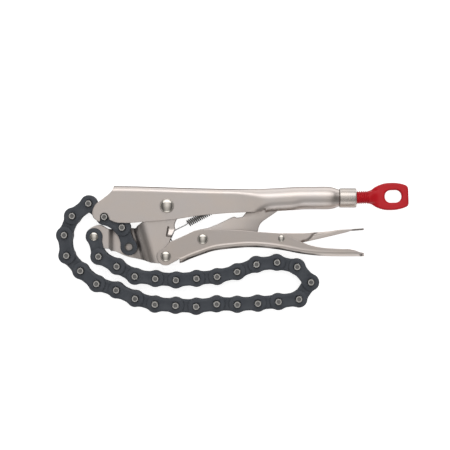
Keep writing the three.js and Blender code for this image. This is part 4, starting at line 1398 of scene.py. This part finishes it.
@dataclass
class ScrewSet(Assembly):
    """The ferrule, the screw's plain inner end and the red adjusting screw with its loop."""

    height: float = 6.2
    ferrule_start: float = 133.0
    ferrule_length: float = 13.0
    ferrule_radius: float = 7.4
    bore: float = 5.1
    tip_start: float = 83.0
    tip_length: float = 8.0
    tip_radius: float = 3.8
    tip_bevel: float = 2.0
    core: float = 4.3
    crest: float = 4.98
    thread_pitch: float = 1.5875
    thread_length: float = 20.0
    out_length: float = 10.6
    loop_length: float = 29.7
    loop_width: float = 21.1
    loop_thickness: float = 5.6
    tilt_degrees: float = 1.9
    hole_right: float = 5.4
    hole_left: float = 18.35
    hole_side: float = 5.75
    hole_corner: float = 4.5
    sides: int = 48
    steps_per_turn: int = 12
    overlap: float = 2.0
    run_out: float = 1.6
    ridge: float = 1.45
    flank: float = 4.2
    neck_end: float = 0.24
    neck_length: float = 0.28

    loop_shares: tuple[Pair, ...] = (
        (-0.06, 0.45), (-0.02, 0.478), (0.015, 0.5), (0.06, 0.57), (0.121, 0.693), (0.201, 0.81),
        (0.284, 0.9), (0.362, 0.96), (0.45, 0.99), (0.523, 1.0), (0.6, 0.998), (0.688, 0.98),
        (0.815, 0.913), (0.913, 0.823), (0.965, 0.74), (0.99, 0.64), (1.0, 0.49),
    )

    def lie_along(self) -> Matrix:
        """Turns a solid about Z into one along X at the screw's height."""
        return Matrix.Translation((0, self.height, 0)) @ Matrix.Rotation(math.pi / 2, 4, "Y")

    def tilt(self) -> Matrix:
        """Leans the screw in the ferrule by the play of its thread."""
        middle = Vector((self.ferrule_start + self.ferrule_length / 2, self.height, 0))
        turn = Matrix.Rotation(math.radians(self.tilt_degrees), 4, "Z")
        return Matrix.Translation(middle) @ turn @ Matrix.Translation(-middle)

    def build_ferrule(self) -> None:
        """Makes the ferrule with its rounded rims."""
        start, end = self.ferrule_start, self.ferrule_start + self.ferrule_length
        r, bore, middle = self.ferrule_radius, self.bore, (start + end) / 2
        profile = rounded([
            (bore, middle, 0), (bore, start, 0.3), (r, start, 0.7), (r, end, 0.9), (bore, end, 0.35),
            (bore, middle, 0),
        ])[:-1]
        ferrule = moved(revolve(profile, 72), self.lie_along())
        self.shop.piece("ferrule_ring", ferrule, TURNED, Slot.BRIGHT, Body.FRAME, "ferrule")

    def build_tip(self) -> None:
        """Makes the plain inner end of the screw."""
        start, end = self.tip_start, self.tip_start + self.tip_length
        r, bevel = self.tip_radius, self.tip_bevel
        profile = rounded([
            (0, start, 0), (r - bevel, start, 0.5), (r, start + bevel, 0.5), (r, end, 0), (0, end, 0),
        ])
        tip = moved(revolve(profile, 40), self.lie_along(), self.tilt())
        self.shop.piece("screw_inner_end", tip, BUSHING, Slot.CHAIN_STEEL, Body.TIP, "screw_tip")

    def shank(self) -> bmesh.types.BMesh:
        """The shank with its helical thread, about Z.

        Returns:
            A closed mesh.
        """
        start = self.tip_start + self.tip_length + 0.3
        end = self.ferrule_start + self.ferrule_length + self.out_length + self.overlap
        thread_from = end - self.overlap - self.thread_length
        places = [start, start + 0.4]
        place, step = thread_from - 1.0, self.thread_pitch / self.steps_per_turn
        while place < end:
            places.append(place)
            place += step
        bm = bmesh.new()
        rings = []
        for i, place in enumerate(places):
            fade_in = unit((place - thread_from) / self.thread_pitch)
            fade_out = unit((end - self.run_out - place) / self.thread_pitch)
            corners = []
            for k in range(self.sides):
                phase = (place / self.thread_pitch - k / self.sides) % 1.0
                ridge = unit(self.ridge - abs(phase - 0.5) * self.flank)
                radius = self.core + (self.crest - self.core) * ridge * fade_in * fade_out
                if i == 0:
                    radius = self.core - 0.4
                angle = 2 * math.pi * k / self.sides
                corners.append(bm.verts.new((radius * math.cos(angle), radius * math.sin(angle), place)))
            rings.append(corners)
        for lower, upper in zip(rings, rings[1:]):
            for k in range(self.sides):
                j = (k + 1) % self.sides
                bm.faces.new((lower[k], lower[j], upper[j], upper[k]))
        bm.faces.new(list(reversed(rings[0])))
        bm.faces.new(rings[-1])
        return bm

    def loop(self) -> bmesh.types.BMesh:
        """The loop handle: a rounded plate with a waist that runs into the shank."""
        start = self.ferrule_start + self.ferrule_length + self.out_length
        half = self.loop_width / 2
        top = [(start + x * self.loop_length, self.height + y * half) for x, y in self.loop_shares]
        top = curve_through(top, 4)
        outline = top + mirrored(top, self.height)
        end, corner = start + self.loop_length, self.hole_corner
        right, left = end - self.hole_right - corner, end - self.hole_left + corner
        rise = half - self.hole_side - corner
        up, down = self.height + rise, self.height - rise
        corners = (((right, up), 0), ((left, up), 90), ((left, down), 180), ((right, down), 270))
        hole = [point for centre, turn in corners for point in arc(centre, corner, turn, turn + 90, 7)]
        half_depth = self.loop_thickness / 2
        blank = Blank(resampled(outline, 1.2), -half_depth, half_depth, [hole], 1.5, 6)

        def swell(p: Vector) -> Vector:
            """Where a point of the flat plate goes: it rounds off where it meets the shank."""
            past = start + self.neck_end * self.loop_length - p.x
            near = eased(past / (self.neck_length * self.loop_length))
            off = min(1.0, abs(p.y - self.height) / (self.crest * 1.02))
            full = math.sqrt(max(0.0, 1 - off * off)) * self.crest
            depth = p.z * (1 - near) + math.copysign(full, p.z) * abs(p.z) / half_depth * near
            return Vector((p.x, p.y, depth))

        return blank.formed(swell, 1.0, 0.8)

    def build(self) -> None:
        """Makes the three pieces."""
        self.build_ferrule()
        self.build_tip()
        shank = moved(self.shank(), self.lie_along())
        screw = moved(joined(shank, self.loop()), self.tilt())
        self.shop.piece(
            "adjusting_screw_and_loop", screw, RED, Slot.RED_PAINT, Body.SCREW, "adjusting_screw", sharp=55
        )


# Geometry node trees


class Tree(Graph):
    """A geometry node tree under construction."""

    def __init__(self, name: str) -> None:
        """Starts a tree with one geometry input and one geometry output."""
        super().__init__(bpy.data.node_groups.new(name, "GeometryNodeTree"))
        for way in ("INPUT", "OUTPUT"):
            self.tree.interface.new_socket("Geometry", in_out=way, socket_type="NodeSocketGeometry")
        self.start = self.node("NodeGroupInput")
        self.end = self.node("NodeGroupOutput")

    def named(self, label: str, kind: str) -> bpy.types.NodeSocket:
        """Adds a named input.

        Args:
            label: The input's name.
            kind: Its socket type after NodeSocket.

        Returns:
            The socket to link from.
        """
        self.tree.interface.new_socket(label, in_out="INPUT", socket_type=f"NodeSocket{kind}")
        return self.start.outputs[label]

    def dressed(
        self, geometry: bpy.types.NodeSocket, finish: bpy.types.NodeSocket
    ) -> bpy.types.NodeSocket:
        """Instances made real, in one finish."""
        real = self.out("GeometryNodeRealizeInstances", Geometry=geometry)
        return self.out("GeometryNodeSetMaterial", Geometry=real, Material=finish)

    def finish(self, socket: bpy.types.NodeSocket) -> bpy.types.NodeTree:
        """Links the last geometry to the output."""
        self.feed(self.end.inputs[0], socket)
        return self.tree

    @staticmethod
    def mesh_of(
        tree: bpy.types.NodeTree, base: bpy.types.Mesh, values: dict[str, object]
    ) -> bpy.types.Mesh:
        """Runs a tree on a mesh and takes the result as a plain mesh.

        Args:
            tree: The tree.
            base: The mesh that it starts from.
            values: The tree's named inputs.

        Returns:
            The finished mesh.
        """
        obj = stood("worker", base)
        modifier = obj.modifiers.new("tree", "NODES")
        modifier.node_group = tree
        for item in tree.interface.items_tree:
            if item.item_type == "SOCKET" and item.in_out == "INPUT" and item.name in values:
                modifier[item.identifier] = values[item.name]
        bpy.context.view_layer.update()
        graph = bpy.context.evaluated_depsgraph_get()
        made = bpy.data.meshes.new_from_object(obj.evaluated_get(graph), depsgraph=graph)
        bpy.data.objects.remove(obj)
        return made


# Chain


@dataclass
class Chain(Assembly):
    """The roller chain: outer links with long pins, inner links with bushings."""

    pitch: float = 15.875
    plate_height: float = 13.0
    waist: float = 10.0
    plate: float = 2.0
    inner_at: float = 4.0
    outer_at: float = 6.3
    pin: float = 2.5
    pin_depth: float = 11.2
    bushing: float = 3.95
    bore: float = 2.62
    headings: tuple[float, ...] = (
        -76.3, -28.5, -29, -6.3, -4, 4.5, 5, 13.8, 20.9, 5.6, -12.4, -48.4, -125.2, -172.8, -175.3,
        -176.9, -181.4, -173, -182.8, -183.3, -196.1, -204.3, -197.7, -219, -227.5, -263.6, -292.5,
        -322.6, -400.4, -390.9, -431.3,
    )

    def plate_outline(self) -> list[Pair]:
        """The waisted outline of a plate whose pins are at the origin and a pitch along X."""
        r, half = self.plate_height / 2, self.pitch / 2
        left = arc((0, 0), r, 62, 298, 26)
        right = arc((self.pitch, 0), r, -118, 118, 26)
        waist = -self.waist / 2
        bends = [(half - 2.6, waist - 0.1), (half, waist), (half + 2.6, waist - 0.1)]
        low = curve_through([left[-1], *bends, right[0]], 4)[1:-1]
        return [*left, *low, *right, *mirrored(low)]

    def plate_mesh(self, hole: float) -> bpy.types.Mesh:
        """One plate about the middle plane, with its two holes."""
        holes = [ring((end, 0), hole, 32) for end in (0.0, self.pitch)]
        half = self.plate / 2
        return mesh_data("plate", Blank(self.plate_outline(), -half, half, holes, 0.28, 3).cut())

    def tool(self, name: str, profile: Sequence[Pair], sides: int) -> bpy.types.Object:
        """A small turned solid that the tree repeats."""
        data = mesh_data(name, revolve(profile, sides))
        end = max(height for _, height in profile) - 0.07
        rim = data.attributes.new("rim", "BOOLEAN", "FACE")
        rim.data.foreach_set("value", [
            all(abs(data.vertices[i].co.z) > end for i in face.vertices) for face in data.polygons
        ])
        return stood(name, data)

    def pin_profile(self) -> list[Pair]:
        """A pin with chamfered ends and a punched dimple in each."""
        r, end = self.pin, self.pin_depth
        upper = [
            (r, end - 0.25), (r - 0.25, end), (r - 0.9, end), (r - 1.1, end - 0.2), (0.6, end - 0.22),
            (0.0, end - 0.3),
        ]
        return mirrored(upper) + upper

    def bushing_profile(self) -> list[Pair]:
        """A bushing, as a closed ring."""
        reach = self.inner_at + self.plate / 2 + 0.02
        r = self.bushing
        upper = [(r, reach - 0.2), (r - 0.2, reach), (self.bore, reach)]
        return mirrored(upper) + upper

    def tree(self) -> bpy.types.NodeTree:
        """The tree that builds one link from a plate and a pin or bushing."""
        t = Tree("chain_link")
        pitch, depth, first = (t.named(name, "Float") for name in ("Pitch", "Plate depth", "First axle"))
        count, axle = t.named("Axle count", "Int"), t.named("Axle", "Object")
        plate_finish, axle_finish, rim_finish = (
            t.named(f"{name} finish", "Material") for name in ("Plate", "Axle", "Rim")
        )
        place, heading = t.named("Place", "Vector"), t.named("Heading", "Float")
        sheets = t.out(
            "GeometryNodeMeshLine", Count=2, Start_Location=t.vector(z=t.maths("MULTIPLY", depth, -1.0)),
            Offset=t.vector(z=t.maths("MULTIPLY", depth, 2.0)),
        )
        plates = t.out("GeometryNodeInstanceOnPoints", Points=sheets, Instance=t.start.outputs[0])
        plates = t.dressed(plates, plate_finish)
        spots = t.out(
            "GeometryNodeMeshLine", Count=count,
            Start_Location=t.vector(x=t.maths("MULTIPLY", first, pitch)), Offset=t.vector(x=pitch),
        )
        source = t.node("GeometryNodeObjectInfo", Object=axle).outputs["Geometry"]
        axles = t.out("GeometryNodeInstanceOnPoints", Points=spots, Instance=source)
        axles = t.dressed(axles, axle_finish)
        rim = t.out("GeometryNodeInputNamedAttribute", data_type="BOOLEAN", Name="rim")
        axles = t.out("GeometryNodeSetMaterial", Geometry=axles, Selection=rim, Material=rim_finish)
        both = t.node("GeometryNodeJoinGeometry", Geometry=axles)
        t.feed(both.inputs[0], plates)
        return t.finish(t.out(
            "GeometryNodeTransform", Geometry=both.outputs[0], Translation=place,
            Rotation=t.vector(z=heading),
        ))

    def build(self) -> None:
        """Makes every link as its own piece."""
        pin = self.tool("pin", self.pin_profile(), 32)
        bushing = self.tool("bushing", self.bushing_profile(), 32)
        outer_plate = self.plate_mesh(self.pin + 0.3)
        inner_plate = self.plate_mesh(self.bore)
        tree = self.tree()
        x, y = self.plan.chain_rivet
        for number, degrees in enumerate(self.headings, start=1):
            heading = math.radians(degrees)
            outer = number % 2 == 0
            values = {
                "Pitch": self.pitch,
                "Plate depth": self.outer_at if outer else self.inner_at,
                "First axle": 1.0 if number == 1 else 0.0,
                "Axle count": 1 if number == 1 else 2,
                "Axle": pin if outer else bushing,
                "Plate finish": BLUED.material(),
                "Axle finish": (PIN if outer else BUSHING).material(),
                "Rim finish": (PIN_RIM if outer else BUSHING).material(),
                "Place": (x, y, 0.0),
                "Heading": heading,
            }
            data = Tree.mesh_of(tree, outer_plate if outer else inner_plate, values)
            node = f"chain_link_{number:02d}"
            self.shop.dress(f"{node}_plates", data, Slot.CHAIN_STEEL, f"link_{number:02d}", node)
            x, y = x + self.pitch * math.cos(heading), y + self.pitch * math.sin(heading)
        for worker in (pin, bushing):
            bpy.data.objects.remove(worker)


# Spring


@dataclass
class Spring(Assembly):
    """The coil spring between the jaw's strip and the tongue in the body."""

    wire: float = 0.84
    coil_radius: float = 2.35
    pitch: float = 1.5
    turns: float = 19.75
    depth: float = 4.5
    start: Pair = (16.0, -13.6)
    body_end: Pair = (42.0, 0.2)
    jaw_end: Pair = (6.5, -17.0)
    rise: float = 28.0
    straight: float = 5.2
    hook: float = 2.6
    hook_start: float = -90.0
    hook_turn: float = 240.0
    per_turn: int = 28

    def line(self) -> list[Vector]:
        """The wire's centre line: near hook, coils and far hook."""
        angle = math.radians(self.rise)
        axis = Vector((math.cos(angle), math.sin(angle), 0))
        side = Vector((-math.sin(angle), math.cos(angle), 0))
        hook = [
            (1.2, -24.4, 4.15), (2.2, -25.3, 4.15), (3.0, -26.0, 4.3), (3.5, -26.45, 4.9),
            (3.6, -26.6, 5.9), (3.3, -26.5, 7.0), (2.95, -26.0, 7.75), (3.1, -25.0, 8.2),
            (3.5, -23.8, 8.75), (4.1, -22.4, 9.1), (4.7, -21.2, 9.0), (5.15, -20.2, 8.6),
            (5.7, -19.3, 8.0), (6.5, -18.6, 7.4), (8.0, -17.8, 7.0), (11.0, -16.3, 6.8),
            (13.4, -15.2, 6.84),
        ]

        def wound(centre: Vector, across: Vector, radius: float, phase: float) -> Vector:
            """A point of a circle about a centre."""
            return centre + across * (radius * math.cos(phase)) + side * (radius * math.sin(phase))

        points = [Vector(p) for p in hook]
        start = Vector((*self.start, self.depth))
        for i in range(int(self.turns * self.per_turn) + 1):
            phase = 2 * math.pi * i / self.per_turn
            centre = start + axis * (self.pitch * i / self.per_turn)
            points.append(wound(centre, Vector((0, 0, 1)), self.coil_radius, phase))
        anchor = start + axis * (self.pitch * 20 + self.straight)
        for i in range(19):
            turn = self.hook_start + self.hook_turn * i / 18
            points.append(wound(anchor, axis, self.hook, math.radians(turn)))
        return points

    def tree(self) -> bpy.types.NodeTree:
        """The tree that sweeps round wire along the centre line."""
        t = Tree("spring_wire")
        radius = t.named("Wire radius", "Float")
        finish = t.named("Wire finish", "Material")
        path = t.out("GeometryNodeMeshToCurve", Mesh=t.start.outputs[0])
        circle = t.out("GeometryNodeCurvePrimitiveCircle", Resolution=12, Radius=radius)
        tube = t.out("GeometryNodeCurveToMesh", Curve=path, Profile_Curve=circle, Fill_Caps=True)
        return t.finish(t.dressed(tube, finish))

    def build(self) -> None:
        """Makes the spring."""
        points = self.line()
        path = bpy.data.meshes.new("spring_path")
        path.from_pydata(points, [(i, i + 1) for i in range(len(points) - 1)], [])
        values = {"Wire radius": self.wire / 2, "Wire finish": WIRE.material()}
        data = Tree.mesh_of(self.tree(), path, values)
        spring = self.shop.dress("coil_spring", data, Slot.SPRING_STEEL, None, "spring", sharp=60)
        ends = [self.plan.point(*end, self.depth) for end in (self.body_end, self.jaw_end)]
        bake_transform(spring)


# Studio


@dataclass
class Studio:
    """The pale floor, the soft light and the camera of the photograph."""

    plan: Plan
    pixel: float = 0.7706
    image: int = 450
    jaw_pixel: Pair = (167.1, 205.9)
    lens: float = 150.0
    sensor: float = 36.0
    sky_gain: float = 2.0
    end_falloff: float = 5.5
    end_level: float = 0.03
    floor_colour: float = 0.55
    floor_glow: float = 0.80
    wall_glow: float = 0.75
    wall_distance: float = 3.0
    wall_height: float = 0.45

    sky_shares: tuple[Pair, ...] = (
        (0.0, 0.48), (0.06, 0.44), (0.15, 0.24), (0.32, 0.26), (0.42, 0.31), (0.5, 0.40), (0.6, 0.45),
        (0.7, 0.47), (0.8, 0.46), (0.9, 0.50), (0.96, 0.54), (1.0, 0.40),
    )
    end_shares: tuple[Pair, ...] = (
        (0.0, 0.02), (0.2, 0.08), (0.28, 0.44), (0.46, 0.44), (0.6, 0.13), (0.8, 0.12), (1.0, 0.0),
    )

    def build_camera(self) -> None:
        """A long lens straight above the tool, framed as the photograph is."""
        half = self.image / 2
        x = (half - self.jaw_pixel[0]) * self.pixel
        y = (self.jaw_pixel[1] - half) * self.pixel
        camera = bpy.data.cameras.new("camera")
        camera.lens, camera.sensor_width = self.lens, self.sensor
        distance = self.image * self.pixel * self.lens / self.sensor
        camera.clip_end = 20.0
        obj = stood("camera", camera)
        obj.location = self.plan.point(x, y, distance + 4.0)
        bpy.context.scene.camera = obj

    def backdrop(self, name: str, colour: float, glow: float) -> bpy.types.Material:
        """A matte pale material that the camera and the metal see a little brighter than it is lit.

        Args:
            name: The material's name.
            colour: Its grey level.
            glow: How much brighter it looks.

        Returns:
            The new material.
        """
        material = bpy.data.materials.new(name)
        graph = Graph.shading(material)
        matte = graph.out("ShaderNodeBsdfDiffuse", Color=(colour, colour, colour, 1))
        path = graph.node("ShaderNodeLightPath").outputs
        seen = path["Is Camera Ray"]
        for kind in ("Is Glossy Ray", "Is Transmission Ray"):
            seen = graph.maths("MAXIMUM", seen, path[kind])
        level = graph.maths("MULTIPLY", seen, glow)
        shine = graph.out("ShaderNodeEmission", Color=(1, 1, 1, 1), Strength=level)
        graph.node("ShaderNodeOutputMaterial", Surface=graph.out("ShaderNodeAddShader", matte, shine))
        return material

    def build_floor(self) -> None:
        """A wide round floor just under the tool, with a low pale wall at its rim."""
        floor = bmesh.new()
        centre = self.plan.origin.to_2d()
        rim = ring((centre.x, centre.y), self.wall_distance, 96)
        floor.faces.new([floor.verts.new((x, y, 0.0)) for x, y in rim])
        wall = bmesh.new()
        low = [wall.verts.new((x, y, 0.0)) for x, y in rim]
        high = [wall.verts.new((x, y, self.wall_height)) for x, y in rim]
        for i in range(len(rim)):
            j = (i + 1) % len(rim)
            wall.faces.new((low[j], low[i], high[i], high[j]))
        for name, bm, glow in (("floor", floor, self.floor_glow), ("wall", wall, self.wall_glow)):
            data = mesh_data(name, bm)
            data.materials.append(self.backdrop(f"pale_{name}", self.floor_colour, glow))
            stood(name, data)

    def build_world(self) -> None:
        """A soft studio: a pale ceiling, brightest beyond the upper handle, darker past the ends."""
        world = bpy.data.worlds.new("studio")
        bpy.context.scene.world = world
        graph = Graph.shading(world)
        maths = graph.maths
        place = graph.node("ShaderNodeTexCoord").outputs["Generated"]
        split = graph.node("ShaderNodeSeparateXYZ", place).outputs
        across = maths("SUBTRACT", 1.0, maths("MULTIPLY", split["X"], split["X"]))
        leaning = maths("DIVIDE", split["Y"], maths("SQRT", maths("MAXIMUM", across, 1e-4)))
        level = graph.ramp(maths("ADD", maths("MULTIPLY", leaning, 0.5), 0.5), self.sky_shares)
        level = maths("MULTIPLY", level, self.sky_gain)
        level = maths("MULTIPLY", level, maths("POWER", across, self.end_falloff))
        along = maths("SUBTRACT", 1.0, across)
        level = maths("ADD", level, maths("MULTIPLY", graph.ramp(split["Z"], self.end_shares), along))
        level = maths("ADD", level, self.end_level)
        soft = graph.out("ShaderNodeBackground", Color=(1.0, 0.985, 0.965, 1), Strength=level)
        graph.node("ShaderNodeOutputWorld", Surface=soft)

    def build_lamp(
        self, name: str, place: Sequence[float], size: Pair, watts: float, mirrored: bool = True
    ) -> None:
        """One soft box aimed at the tool.

        Args:
            name: The lamp's name.
            place: Where it hangs, in metres from the tool's middle.
            size: Its width and height in metres.
            watts: Its power.
            mirrored: Whether the metal shows it.
        """
        data = bpy.data.lights.new(name, "AREA")
        data.shape = "RECTANGLE"
        data.size, data.size_y = size
        data.energy = watts
        lamp = stood(name, data)
        lamp.location = place
        lamp.rotation_euler = Vector(place).to_track_quat("Z", "Y").to_euler()
        lamp.visible_glossy = mirrored

    def build(self) -> None:
        """Sets the floor, the world, the lamps and the view transform."""
        self.build_floor()
        self.build_world()
        self.build_lamp("far_box", (0.0, 0.95, 0.95), (1.9, 0.8), 4.6)
        self.build_lamp("near_box", (0.0, -1.0, 0.8), (0.8, 0.12), 0.35)
        self.build_lamp("fill_box", (0.0, 0.2, 1.7), (1.2, 1.2), 12.0, mirrored=False)
        bpy.context.scene.view_settings.view_transform = "Standard"


def main() -> None:
    """Builds the studio and every piece of the tool."""
    logging.basicConfig(level=logging.INFO, format="%(name)s: %(message)s")
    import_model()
    plan = Plan.from_frame()
    studio = Studio(plan)
    studio.build_camera()
    shop = Workshop(plan)
    for assembly in (UpperBody, Jaw, Lever, ToggleLink, ReleaseLever, Rivets, ScrewSet, Chain, Spring):
        assembly(shop).build()
    studio.build()


if __name__ == "__main__":
    main()
